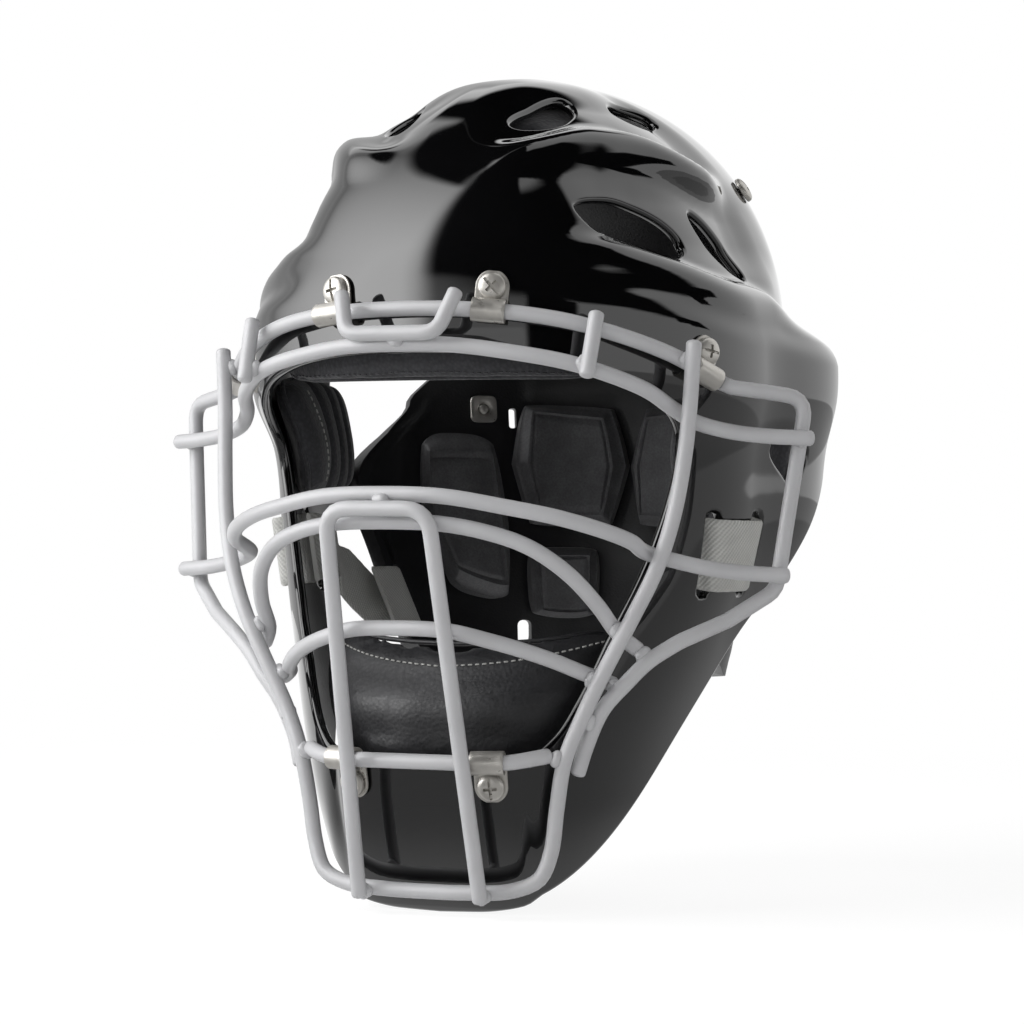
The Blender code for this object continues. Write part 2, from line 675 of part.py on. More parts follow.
def patch(name, look, place, columns, rows, thickness, edge=0.25):
    """A curved slab: place(a, b, depth) puts its points, thickness(a, b) is its depth, less at its edge."""
    bm = bmesh.new()
    bmesh.ops.create_grid(bm, x_segments=columns, y_segments=rows, size=1.0)
    lift_copy(bm)
    for vert in bm.verts:
        a, b = vert.co.x, vert.co.y
        depth = thickness(a, b) if vert.co.z > 0.5 else 0.0
        if max(abs(a), abs(b)) > 0.999:
            depth *= edge
        vert.co = place(a, b, depth)
    return add_object(name, mesh_from(bm, name), look)


def pillow(thick, crown=0.35):
    """Depth of a stuffed pad: full in the middle and drawn in towards its seams."""
    def depth(a, b):
        return thick * (1.0 - crown * (1.0 - (1.0 - a**4) * (1.0 - b**4)))
    return depth


def on_shell(theta_mid, theta_half, z_low, z_high, inset, round_off=0.0):
    """Placing function for a patch inside the shell; round_off draws its corners in."""
    def place(a, b, depth):
        pull = 1.0 - round_off * (abs(a) ** 3) * (abs(b) ** 3)
        theta = math.radians(theta_mid + theta_half * a * pull)
        z = (z_low + z_high) / 2 + (z_high - z_low) / 2 * b * pull
        return shell_point(theta, z, -inset - depth)
    return place


def build_pads():
    """Pads fixed inside the front shell: brow, chin cup, the two at the ears, and the crown."""
    inset = SHELL_WALL + PAD_GAP
    brow = on_shell(0, 46, 26, 50, SHELL_WALL + BROW_PAD_GAP, 0.2)
    patch("brow_pad", "pad_charcoal", brow, 18, 4, pillow(12.0))
    chin = on_shell(0, 60, -130, -66, SHELL_WALL + CHIN_PAD_GAP, 0.25)
    patch("chin_pad", "pad_vinyl", chin, 16, 6, pillow(12.0, 0.5))
    for side, sign in SIDES:
        side_place = on_shell(84 * sign, 24, -13, 34, SHELL_WALL + SIDE_PAD_GAP, 0.2)
        patch(f"side_pad_{side}", "pad_charcoal", side_place, 8, 6, pillow(14.0))

    def crown(a, b, depth):
        x, y = 46.0 * a * (1 - 0.18 * b * b), 55.0 * b * (1 - 0.18 * a * a) - 6.0
        theta = math.atan2(x, -y)
        low, high = 60.0, SHELL_TOP - 0.5
        for _ in range(30):
            middle = (low + high) / 2
            if shell_radius(theta, middle) > math.hypot(x, y):
                low = middle
            else:
                high = middle
        return Vector((x, y, low)) - shell_normal(theta, low) * (inset + 2.0 + depth)

    patch("crown_pad", "pad_charcoal", crown, 7, 7, pillow(9.0))


def plate_edge(z):
    """Bearing of the back plate's side edge at height z, in degrees from the front."""
    if z > 60:
        return 118.0 + 20.0 * step(PIVOT_Z - 10 - z, 0, 12) + 12.0 * step(z, 112, 124)
    wing = 110.0 + 22.0 * step(z, -8, 24) + 6.0 * step(z, 24, 40)
    return wing + 24.0 * (1.0 - step(z, PLATE_LOW - 2, PLATE_LOW + 9))


def plate_point(theta, z, depth):
    """Point inside the back plate's outer face by depth; the plate tucks in further at its lower wings."""
    inset = PLATE_WING_INSET + (PLATE_INSET - PLATE_WING_INSET) * step(z, -40, 10)
    return shell_point(theta, z, -inset - depth)


def wrapped(degrees):
    """Bearing in radians between -180 and 180 degrees."""
    return math.remainder(math.radians(degrees), 2 * math.pi)


def on_plate(a, b, depth):
    """Placing function for the whole back plate: a runs across its back, b up it."""
    z = (PLATE_LOW + PLATE_HIGH) / 2 + (PLATE_HIGH - PLATE_LOW) / 2 * b
    return plate_point(wrapped(180.0 + (180.0 - plate_edge(z)) * a), z, depth)


def on_liner(from_back, half, z_low, z_high, sign, round_off):
    """Placing function for a pad on the inside of the back plate."""
    def place(a, b, depth):
        pull = 1.0 - round_off * (abs(a) ** 3) * (abs(b) ** 3)
        theta = wrapped(180.0 - sign * (from_back + half * a * pull))
        z = (z_low + z_high) / 2 + (z_high - z_low) / 2 * b * pull
        return plate_point(theta, z, PLATE_THICK + LINER_PAD_GAP + depth)
    return place


def plate_frame(bearing, z):
    """Middle of the back plate's wall on its left half, and the axes rearward, outward and down there."""
    theta = math.radians(bearing)
    out = shell_normal(theta, z)
    down = (Vector((0, 0, -1)) + out * out.z).normalized()
    return plate_point(theta, z, PLATE_THICK / 2), out.cross(down).normalized(), out, down


def plate_slot(name, bearing, z, width, length, sign):
    """Cutter for a slot through the back plate, on one side."""
    middle, along, out, down = plate_frame(bearing, z)
    bm = bmesh.new()
    bmesh.ops.create_cube(bm, size=1.0)
    bmesh.ops.scale(bm, vec=(width, 5 * PLATE_THICK, length), verts=bm.verts)
    slot = add_cutter(name, mesh_from(bm, name))
    x_axis, y_axis = flipped(along, sign), flipped(out, sign)
    frame = Matrix((x_axis, y_axis, x_axis.cross(y_axis))).transposed().to_4x4()
    slot.matrix_world = Matrix.Translation(flipped(middle, sign) * MM) @ frame
    return slot


def build_back_plate():
    """Back plate with its pads and liner fasteners, all carried by an empty on the pivot axis."""
    plate = patch("back_plate", "plate_black", on_plate, 15, 14, lambda a, b: PLATE_THICK, edge=1.0)
    made = [plate]
    for side, sign in SIDES:
        place, axis = pivot_line(sign)
        cut(plate, drill("plate_pivot_hole_" + side, place, axis, SCREW_SHANK / 2 + 2 * SHANK_PLAY, 12.0))
        outside = PLATE_INSET + PLATE_THICK / 2 + SEAT_GAP
        inside = -PLATE_THICK / 2 - PIVOT_NUT_GAP
        add_fastener("pivot_" + side, outside - inside + SCREW_PAST_NUT, -0.4, place, axis, outside, inside)
        theta = wrapped(180.0 - LINER_NUT_BEARING * sign)
        axis = shell_normal(theta, LINER_NUT_Z)
        place = plate_point(theta, LINER_NUT_Z, 0.0)
        cut(plate, drill("liner_hole_" + side, place, axis, HOLE / 2, 16.0))
        nut_at = -PLATE_THICK - NUT_SETBACK
        head_at = 2 * SEAT_GAP
        length = head_at - nut_at + SCREW_PAST_NUT
        made += add_fastener("liner_" + side, length, PLATE_THICK, place, axis, head_at, nut_at)
        cut(plate, plate_slot("wing_slot_" + side, WING_SLOT_BEARING, WING_SLOT_Z, SLOT_WIDTH, SLOT_HEIGHT, sign))
        for k, (off_back, z, width, length) in enumerate(PLATE_VENTS):
            cut(plate, plate_slot(f"plate_vent_{k}_{side}", 180.0 - off_back, z, width, length, sign))
        pads = {
            "back_pad": (on_liner(14.5, 12.0, -23, 24, sign, 0.3), 7, 6, 10.0),
            "nape_pad": (on_liner(16.5, 9.5, -60, -31, sign, 0.15), 5, 4, 10.0),
            "wing_pad": (on_liner(39.0, 8.0, -54, 10, sign, 0.2), 4, 7, 8.0),
        }
        for name, (place, columns, rows, thick) in pads.items():
            made.append(patch(f"{name}_{side}", "pad_charcoal", place, columns, rows, pillow(thick)))
    hinge = bpy.data.objects.new("back_plate_hinge", None)
    PARTS.objects.link(hinge)
    hinge.location = pivot_line(1)[0] * MM
    hinge.location.x = 0.0
    bpy.context.view_layer.update()
    for item in made:
        keep = item.matrix_world.copy()
        item.parent = hinge
        item.matrix_parent_inverse = hinge.matrix_world.inverted()
        item.matrix_world = keep


def shell_frame(y, z):
    """Point of the shell's left flank at y and z, and the axes rearward, outward and down there."""
    theta = bearing_at(z, 1, y)
    out = shell_normal(theta, z)
    down = (Vector((0, 0, -1)) + out * out.z).normalized()
    return shell_point(theta, z), out.cross(down).normalized(), out, down


def strap_path():
    """Centre line of the left strap with its width directions: over the cheek bar, then round the wing's bar."""
    through = ((-11.0, -11.0), (-5.0, -8.8), (-1.4, -5.8), (0.0, -2.0), (0.8, 1.4), (3.8, 2.8))  # slot to bar
    place, back, out, down = shell_frame(FRONT_SLOT_Y, STRAP_Z)
    path = [(place + back * s + out * n, down) for s, n in through]
    place, back, out, down = shell_frame((FRONT_SLOT_Y + REAR_SLOT_Y) / 2, STRAP_Z)
    path.append((place + out * 3.0, down))
    place, back, out, down = shell_frame(REAR_SLOT_Y, STRAP_Z)
    path += [(place - back * s + out * n, down) for s, n in reversed(through[2:])]
    wing_middle, wing_back, wing_out, wing_down = plate_frame(WING_SLOT_BEARING, WING_SLOT_Z)
    lean = (down + wing_down).normalized()
    for y, z in STRAP_UNDER_EDGE:
        path.append((shell_point(bearing_at(z, 1, y), z, -SHELL_WALL - STRAP_INSIDE), lean))
    round_bar = (
        (-13.0, 3.4), (-6.0, 3.2), (-2.6, 3.0), (-0.3, 1.7), (0.3, -0.6), (-0.8, -2.9),
        (-4.0, -3.8), (-12.0, -4.2), (-20.0, -4.4),
    )
    path += [(wing_middle + wing_back * s + wing_out * n, wing_down) for s, n in round_bar]
    return path


def build_straps():
    """Two flat elastics: a strip of the strap's width bent along its path and given its thickness."""
    centres, widths = zip(*strap_path())
    last = len(centres) - 1
    for side, sign in SIDES:
        bm = bmesh.new()
        bmesh.ops.create_grid(bm, x_segments=1, y_segments=last, size=1.0)
        for vert in bm.verts:
            i = round((vert.co.y + 1.0) / 2.0 * last)
            run = (centres[min(i + 1, last)] - centres[max(i - 1, 0)]).normalized()
            width = (widths[i] - run * run.dot(widths[i])).normalized()
            vert.co = flipped(centres[i] + width * (vert.co.x * STRAP_WIDTH / 2), sign)
        strap = add_object("strap_" + side, mesh_from(bm, "strap_" + side), "elastic_grey")
        solid = strap.modifiers.new("thickness", "SOLIDIFY")
        solid.thickness = STRAP_THICK * MM
        solid.offset = 0.0
        solid.use_even_offset = True


build_shell()
build_cage()
build_clips()
build_pads()
build_back_plate()
build_straps()
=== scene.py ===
"""Dressed catcher's mask: gloss shell, welded wire cage, hardware, padded liner and elastic straps.

The frame is the head's: +Z up, the face looks along -Y, +X is the wearer's left.  Forms are worked out
in millimetres and turned into metres where a mesh is made.
"""
import math

import bmesh
import bpy
import numpy
from mathutils import Matrix, Vector
from mathutils.bvhtree import BVHTree
from mathutils.geometry import delaunay_2d_cdt


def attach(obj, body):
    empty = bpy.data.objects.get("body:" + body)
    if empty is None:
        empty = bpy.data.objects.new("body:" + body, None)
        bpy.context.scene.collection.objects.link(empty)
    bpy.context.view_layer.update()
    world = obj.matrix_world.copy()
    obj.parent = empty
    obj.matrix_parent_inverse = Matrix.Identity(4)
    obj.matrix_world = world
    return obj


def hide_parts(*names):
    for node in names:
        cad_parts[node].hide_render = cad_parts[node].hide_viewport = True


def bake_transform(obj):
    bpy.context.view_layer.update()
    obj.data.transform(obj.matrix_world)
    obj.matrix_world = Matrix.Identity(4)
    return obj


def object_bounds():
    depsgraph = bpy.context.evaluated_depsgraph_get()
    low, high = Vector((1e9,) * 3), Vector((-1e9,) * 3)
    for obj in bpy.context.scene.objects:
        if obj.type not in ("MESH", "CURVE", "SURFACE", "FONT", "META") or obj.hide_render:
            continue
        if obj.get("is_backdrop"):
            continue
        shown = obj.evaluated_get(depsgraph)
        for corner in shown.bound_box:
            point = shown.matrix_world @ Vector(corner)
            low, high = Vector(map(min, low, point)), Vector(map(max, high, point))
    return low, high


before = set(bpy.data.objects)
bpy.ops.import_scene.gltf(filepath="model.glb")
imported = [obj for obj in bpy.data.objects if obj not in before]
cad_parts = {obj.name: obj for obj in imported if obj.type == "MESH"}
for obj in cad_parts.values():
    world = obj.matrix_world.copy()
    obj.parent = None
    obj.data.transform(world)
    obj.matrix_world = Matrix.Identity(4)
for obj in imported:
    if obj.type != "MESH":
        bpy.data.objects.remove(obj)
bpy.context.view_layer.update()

bl_info = {
    "name": "Catcher's Mask",
    "version": (1, 0, 0),
    "blender": (4, 5, 0),
    "location": "3D View > Sidebar > Mask",
    "description": "Dresses the packed catcher's mask with its finished surfaces and a plain stage",
    "category": "Add Mesh",
}

MM = 0.001
SIDES = (("left", 1), ("right", -1))


def linear(code):
    """Linear colour of an sRGB hex value."""
    parts = [int(code[i:i + 2], 16) / 255.0 for i in (1, 3, 5)]
    return tuple(p / 12.92 if p <= 0.04045 else ((p + 0.055) / 1.055) ** 2.4 for p in parts)


def length_setting(name, description, default):
    return bpy.props.FloatProperty(
        name=name, description=description, default=default * MM, min=0.0, subtype="DISTANCE",
        unit="LENGTH", precision=4,
    )


def colour_setting(name, description, code):
    return bpy.props.FloatVectorProperty(
        name=name, description=description, default=linear(code), size=3, min=0.0, max=1.0, subtype="COLOR",
    )


class MaskSizes(bpy.types.PropertyGroup):
    """Sizes of the dressed mask that a user would change."""

    wall: length_setting("Shell wall", "Thickness of the moulded shell", 4.0)
    facet: length_setting("Shell facet", "Spacing of the points that draw the shell", 1.6)
    wire: length_setting("Cage wire", "Diameter of the cage's wire with its coating", 5.3)
    weld: length_setting("Weld bead", "Radius of the bead where two wires are joined", 3.1)
    sheet: length_setting("Clip sheet", "Thickness of the bent clips", 0.9)
    strap: length_setting("Strap thickness", "Thickness of the woven elastic", 1.6)
    swell: length_setting("Pad swelling", "Furthest that a pad's cover may be blown out", 1.6)
    stitch: length_setting("Stitch", "Length of one stitch on the pads", 1.9)


class MaskColours(bpy.types.PropertyGroup):
    """Colours of the dressed mask that a user would change."""

    shell: colour_setting("Shell", "Gloss lacquer of the shell", "#0a0a0b")
    plate: colour_setting("Back plate", "Moulded back plate", "#1f1f21")
    cage: colour_setting("Cage", "Powder coat of the cage", "#c6c6c8")
    nickel: colour_setting("Hardware", "Plating of clips, screws and nuts", "#cfccc6")
    cover: colour_setting("Pad cover", "Knitted cover of the pads", "#343437")
    liner: colour_setting("Liner", "Bonded facing of the liner's panels", "#58585a")
    vinyl: colour_setting("Vinyl", "Vinyl of the chin cup", "#242426")
    thread: colour_setting("Thread", "Sewing thread of the pads", "#b4b4b0")
    elastic: colour_setting("Elastic", "Woven elastic of the straps", "#d6d6d2")
    floor: colour_setting("Floor", "Floor and backdrop", "#f2f2f2")


# Sizes and places in millimetres, bearings in degrees from the front; most are as in the part

SHELL_TOP = 141.0
SHELL_SPRING = 45.0
FOREHEAD_RISE = 18.0
SHELL_LOW = -168.0
SHELL_WALL = 4.0
SHELL_BACK = 122.0
DOME_HALF_WIDTH = 88.0
FLARE = 13.0
SECTIONS = (  # height, half width, reach in front, squareness of the plan
    (45.0, 97.0, 101.5, 2.2),
    (25.0, 97.0, 99.0, 2.2),
    (5.0, 93.0, 84.0, 2.1),
    (-25.0, 90.0, 82.0, 2.1),
    (-60.0, 80.0, 88.0, 2.4),
    (-95.0, 69.0, 93.0, 2.75),
    (-125.0, 61.5, 87.0, 3.0),
    (-168.0, 51.0, 73.0, 3.0),
)
FACE_HALF = (  # (x, z) from the brow down to the chin lip
    (0.0, 38.0), (30.0, 37.0), (55.0, 33.0), (70.0, 26.5), (77.0, 16.0), (77.0, 4.0), (74.0, -11.0),
    (70.4, -25.0), (66.0, -39.0), (59.3, -57.0), (51.3, -79.0), (44.5, -92.0), (36.0, -98.5), (0.0, -99.5),
)
REAR_EDGE = (  # (y, z) from the crown down to the chin
    (62.0, 160.0), (62.0, 64.0), (45.0, 40.0), (43.0, -6.0), (22.0, -40.0), (-74.0, -150.0),
    (-82.0, -159.0), (-120.0, -160.0),
)
EDGE_ROUNDING = 12.0
VENTS = (  # bearing and height of one end, of the other end, half width, points, taper
    (34, 90, 66, 79, 7.5, 72, 1.3),
    (75, 91, 93, 70, 5.5),
    (18, 120, 44, 129, 5.0),
    (72, 128, 104, 127, 4.5),
)
CREST_RISE = 3.2
UPPER_HOLLOW = 3.4
LOWER_HOLLOW = 3.0
BLADE_RISE = 1.9
BLADE_GROOVE = 1.7
EDGE_CLEARANCE = 0.62  # part of a facet that stays free between an edge and the grid
ON_MIDDLE = 1e-4  # a point nearer than this to the middle plane lies on it
DOME_TURNS = (30, 55, 75, 86)  # rings of a rod's rounded end
WIRE = 5.3
WIRE_STANDOFF = 4.8
CLIP_WIDTH = 11.5
CLIP_WIRE_GAP = 0.55
CLIP_SHELL_GAP = 0.5
CLIP_RISE = 8.3
CHIN_CLIP_RISE = 9.6
CLIP_WRAP_START = 195.0
CLIP_WRAP = 285.0
CLIP_WRAP_STEPS = 30
CLIP_TAB_START = 0.6
CLIP_TAB_STEPS = 24
SCREW_HEAD = 9.6
SCREW_HEAD_HEIGHT = 2.8
SCREW_SHANK = 3.8
SCREW_PAST_NUT = 1.8
THREAD_PITCH = 0.7
RECESS_CUTS = (  # width, length, depth, turn
    (1.15, 9.4, 1.15, 0),
    (1.2, 5.4, 2.0, 0),
    (1.2, 5.4, 2.0, 90),
)
HEAD_TURNS = {  # degrees that a screw's recess is turned, where it isn't 30
    "forehead_left": 42, "forehead_right": 12, "temple_left": 80, "chin_left": 5, "chin_right": 65,
}
SEAT_GAP = 0.3
NUT_BARREL = 6.2
NUT_BORE = 4.6
NUT_FLANGE = 13.0
NUT_FLANGE_THICK = 1.2
NUT_SETBACK = 2.4
CHIN_NUT_SETBACK = 4.2
HOLE = 7.2
PLATE_INSET = 8.0
PLATE_WING_INSET = 14.0
PLATE_THICK = 3.2
PLATE_LOW = -82.0
PLATE_HIGH = 127.0
PIVOT_Y = 45.0
PIVOT_Z = 102.0
PIVOT_NUT_GAP = 2.4
LINER_NUT_BEARING = 33.0
LINER_NUT_Z = 21.0
PLATE_VENTS = ((27.0, 18.0, 3.0, 8.0), (27.0, -66.0, 6.0, 10.0))  # from the back, height, width, length
PLATE_RAISED = 1.3
PLATE_FIELD_Z = (26, 30, 66, 70)
PLATE_FIELD_FROM_BACK = (1.5, 4.0, 22.0, 25.0)
CROWN_PAD_GAP = 3.0
BROW_PAD_GAP = 3.0
SIDE_PAD_GAP = 2.2
LINER_PAD_GAP = 2.0
CHIN_PAD_GAP = 9.0
SIDE_PAD_BEARING = 84.0
SIDE_PAD_HALF = 24.0
PIPING_RADIUS = 0.9
LINER_PANELS = (  # name, (from the back, half width, low, high, rounding, widening), columns, rows, depth
    ("back_pad", (14.4, 10.6, -23, 24, 0.04, 0.3), 48, 44, 10.0),
    ("nape_pad", (16.5, 9.5, -59, -31, 0.1, 0.0), 36, 32, 10.0),
    ("wing_pad", (39.2, 7.8, -54, 10, 0.1, 0.1), 36, 56, 8.0),
)
STRAP_WIDTH = 25.4
SLOT_WIDTH = 5.4
SLOT_HEIGHT = 28.6
STRAP_Z = -31.0
FRONT_SLOT_Y = -33.0
REAR_SLOT_Y = -7.0
WING_SLOT_BEARING = 117.0
WING_SLOT_Z = -58.0
STRAP_INSIDE = 5.0
STRAP_UNDER_EDGE = ((3.0, -35.0), (9.0, -42.0))


def step(value, low, high):
    """Rise from 0 at low to 1 at high with level ends."""
    t = min(1.0, max(0.0, (value - low) / (high - low)))
    return t * t * (3.0 - 2.0 * t)


def band(value, low, full, full_end, high):
    """Rise to 1 between low and full, and fall again between full_end and high."""
    return step(value, low, full) * (1.0 - step(value, full_end, high))


def section(z):
    """Half width, front reach and squareness of the shell's plan at height z."""
    rows = SECTIONS
    z = min(rows[0][0], max(rows[-1][0], z))
    i = 0
    while i < len(rows) - 2 and z < rows[i + 1][0]:
        i += 1
    before, here, there, after = rows[max(i - 1, 0)], rows[i], rows[i + 1], rows[min(i + 2, len(rows) - 1)]
    span = there[0] - here[0]
    t = (z - here[0]) / span
    values = []
    for k in (1, 2, 3):
        m0 = span * (there[k] - before[k]) / (there[0] - before[0])
        m1 = span * (after[k] - here[k]) / (after[0] - here[0])
        values.append(
            (2 * t**3 - 3 * t**2 + 1) * here[k] + (t**3 - 2 * t**2 + t) * m0
            + (3 * t**2 - 2 * t**3) * there[k] + (t**3 - t**2) * m1
        )
    return values


def shell_radius(theta, z):
    """Distance of the shell's outer face from the vertical axis, at bearing theta from the front."""
    angle = abs(math.degrees(theta))
    side = abs(math.sin(theta))
    ahead = math.cos(theta)
    width, reach, square = section(z)
    ledge = ledge_height(angle)
    width += (DOME_HALF_WIDTH - SECTIONS[0][1]) * step(z, ledge - 10, ledge + 7)
    depth = reach if ahead > 0 else SHELL_BACK
    radius = ((side / width) ** square + (abs(ahead) / depth) ** square) ** (-1.0 / square)
    spring = SHELL_SPRING + FOREHEAD_RISE * (1.0 - step(angle, 15, 60))
    if z > spring:
        rise = min(1.0, (z - spring) / (SHELL_TOP - spring))
        power = 1.97 + 0.43 * step(angle, 100, 160)
        radius *= max(0.0, 1.0 - rise**power) ** (1.0 / power)
    radius += FLARE * band(angle, 82, 116, 124, 150) * band(z, -85, -10, 36, 58)
    radius -= 3.5 * band(angle, 30, 52, 100, 125) * band(z, 66, 80, 92, 106)
    chin = 1.0 - step(abs(radius * math.sin(theta)), 30, 37)
    radius += 2.2 * chin * (1.0 - step(z, -100, -90)) * step(ahead, 0.2, 0.5) * step(z, -158, -148)
    return radius


def ledge_height(angle):
    """Height of the ledge where the dome meets the flanks, at a bearing in degrees."""
    return 66.0 - 6.0 * step(angle, 50, 90) - 8.0 * step(angle, 90, 120)


def height(latitude):
    """Height of a ring of the shell, from its latitude on a sphere."""
    if latitude > 0:
        return SHELL_SPRING + (SHELL_TOP - SHELL_SPRING) * math.sin(latitude)
    return SHELL_SPRING + (SHELL_SPRING - SHELL_LOW) * latitude / math.radians(80)


def latitude_at(z):
    """Latitude of the ring at height z."""
    if z > SHELL_SPRING:
        return math.asin(min(1.0, (z - SHELL_SPRING) / (SHELL_TOP - SHELL_SPRING)))
    return (z - SHELL_SPRING) / (SHELL_SPRING - SHELL_LOW) * math.radians(80)


def ring_point(theta, latitude):
    z = height(latitude)
    radius = shell_radius(theta, z)
    return Vector((radius * math.sin(theta), -radius * math.cos(theta), z))


def crossed(place, theta, latitude, small=0.012):
    """Outward normal of a surface place(theta, latitude)."""
    latitude = min(latitude, math.radians(88))
    across = place(theta + small, latitude) - place(theta - small, latitude)
    up = place(theta, latitude + small) - place(theta, latitude - small)
    return across.cross(up).normalized()


def shell_normal(theta, z):
    return crossed(ring_point, theta, latitude_at(z))


def shell_point(theta, z, out=0.0):
    """Point of the shell's outer face, moved outward by out."""
    return ring_point(theta, latitude_at(z)) + shell_normal(theta, z) * out


def halved(low, high, holds):
    """The value up to which a test holds, found by halving the range."""
    for _ in range(40):
        middle = (low + high) / 2
        if holds(middle):
            low = middle
        else:
            high = middle
    return (low + high) / 2


def bearing_at(z, axis, target):
    """Bearing on the wearer's left where the shell's x (axis 0) or y (axis 1) at height z reaches target."""
    def short(theta):
        return ring_point(theta, latitude_at(z))[axis] < target
    return halved(0.0, math.pi if axis else math.radians(88), short)


def mirrored(points):
    """A half path given from the middle outwards, with its other half in front of it."""
    return [Vector((-p[0], p[1], p[2])) for p in reversed(points[1:])] + [Vector(p) for p in points]


def flipped(vector, sign):
    """The same point or direction on the wearer's left (sign 1) or right (sign -1)."""
    return Vector((vector.x * sign, vector.y, vector.z))


def stations(points, spacing):
    """Steps along a path of given points, about spacing apart, as (run, part of the run)."""
    places = [(0, 0.0)]
    for i in range(len(points) - 1):
        count = max(1, round((points[i + 1] - points[i]).length / spacing))
        places += [(i, k / count) for k in range(1, count + 1)]
    return places


def curve_at(points, run, part):
    """Point of the smooth curve through the given points."""
    ends = [points[0] * 2 - points[1]] + list(points) + [points[-1] * 2 - points[-2]]
    a, b, c, d = ends[run:run + 4]
    t1 = math.sqrt((b - a).length)
    t2 = t1 + math.sqrt((c - b).length)
    t3 = t2 + math.sqrt((d - c).length)
    t = t1 + (t2 - t1) * part
    ab, bc, cd = a.lerp(b, t / t1), b.lerp(c, (t - t1) / (t2 - t1)), c.lerp(d, (t - t2) / (t3 - t2))
    return ab.lerp(bc, t / t2).lerp(bc.lerp(cd, (t - t1) / (t3 - t1)), (t - t1) / (t2 - t1))


def smooth_path(points, spacing):
    """Points of a smooth curve through the given ones, about spacing apart."""
    points = [Vector(p) for p in points]
    return [curve_at(points, run, part) for run, part in stations(points, spacing)]


def rounded_path(points, radius, steps=5, closed=False):
    """Straight runs between the points, each inner corner replaced by an arc of about radius."""
    points = [Vector(p) for p in points]
    count = len(points)
    path = []
    for i, corner in enumerate(points):
        if not closed and i in (0, count - 1):
            path.append(corner)
            continue
        before, after = points[i - 1], points[(i + 1) % count]
        back, ahead = before - corner, after - corner
        half = back.angle(ahead) / 2.0
        trim = min(radius / math.tan(half), 0.45 * back.length, 0.45 * ahead.length)
        start = corner + back.normalized() * trim
        end = corner + ahead.normalized() * trim
        for k in range(steps + 1):
            t = k / steps
            path.append(start.lerp(corner, t).lerp(corner.lerp(end, t), t))
    return path


def even_path(points, spacing, closed=False):
    """The same run of straight pieces with its points spread evenly, about spacing apart."""
    points = list(points) + ([points[0]] if closed else [])
    steps = [(b - a).length for a, b in zip(points, points[1:])]
    marks = numpy.concatenate([[0.0], numpy.cumsum(steps)])
    count = max(3, round(marks[-1] / spacing))
    wanted = numpy.linspace(0.0, marks[-1], count + 1)
    columns = [numpy.interp(wanted, marks, [p[k] for p in points]) for k in range(3)]
    path = [Vector(p) for p in zip(*columns)]
    return path[:-1] if closed else path


# Materials

def add_node(tree, kind, settings):
    """Add a shader node: small-letter keys are its properties, the others its inputs, by value or by link."""
    made = tree.nodes.new(kind)
    for key, value in settings.items():
        if isinstance(value, bpy.types.NodeSocket):
            tree.links.new(value, made.inputs[key])
        elif isinstance(key, str) and key.islower():
            setattr(made, key, value)
        else:
            made.inputs[key].default_value = value
    return made


def start_material(name):
    """A new material with an empty tree, and its object coordinates, in which one unit is a metre."""
    made = bpy.data.materials.new(name)
    made.use_nodes = True
    made.node_tree.nodes.clear()
    place = add_node(made.node_tree, "ShaderNodeTexCoord", {}).outputs["Object"]
    return made, made.node_tree, place


def finish_material(made, shader):
    add_node(made.node_tree, "ShaderNodeOutputMaterial", {"Surface": shader.outputs[0]})
    return made


def principled(made, settings):
    """Finish a material with a Principled shader."""
    return finish_material(made, add_node(made.node_tree, "ShaderNodeBsdfPrincipled", settings))


def rgba(colour, factor=1.0):
    return (*(min(1.0, part * factor) for part in colour), 1.0)


def noise(tree, place, size, detail, **settings):
    """Cloudy noise with patches about size metres across."""
    return add_node(tree, "ShaderNodeTexNoise", {
        "Vector": place, "Scale": 1 / size, "Detail": detail, **settings}).outputs[0]


def cells(tree, place, size, **settings):
    """Pebbles about size metres across, by the distance from the middle of each."""
    return add_node(tree, "ShaderNodeTexVoronoi", {"Vector": place, "Scale": 1 / size, **settings}).outputs[0]


def lines_across(tree, place, degrees, spacing, settings):
    """Soft lines, spacing metres apart, turned by an angle."""
    turned = add_node(tree, "ShaderNodeMapping", {
        "Vector": place, "Rotation": (0.0, 0.0, math.radians(degrees))})
    return add_node(tree, "ShaderNodeTexWave", {
        "Vector": turned.outputs[0], "Scale": math.pi / (10 * spacing), **settings}).outputs[1]


def ranged(tree, value, start, end, low, high):
    """A value between start and end, spread between low and high."""
    return add_node(tree, "ShaderNodeMapRange", {0: value, 1: start, 2: end, 3: low, 4: high}).outputs[0]


def figured(tree, operation, first, second):
    return add_node(tree, "ShaderNodeMath", {"operation": operation, 0: first, 1: second}).outputs[0]


def toned(tree, factor, colour, dark, light):
    """The colour times dark where the factor is 0, and times light where it is 1."""
    return add_node(tree, "ShaderNodeMix", {
        "data_type": "RGBA", 0: factor, 6: rgba(colour, dark), 7: rgba(colour, light)}).outputs[2]


def bumped(tree, height, strength, distance, invert=False):
    """Normal of a surface with a fine relief on it."""
    return add_node(tree, "ShaderNodeBump", {
        "Height": height, "Strength": strength, "Distance": distance, "invert": invert}).outputs[0]


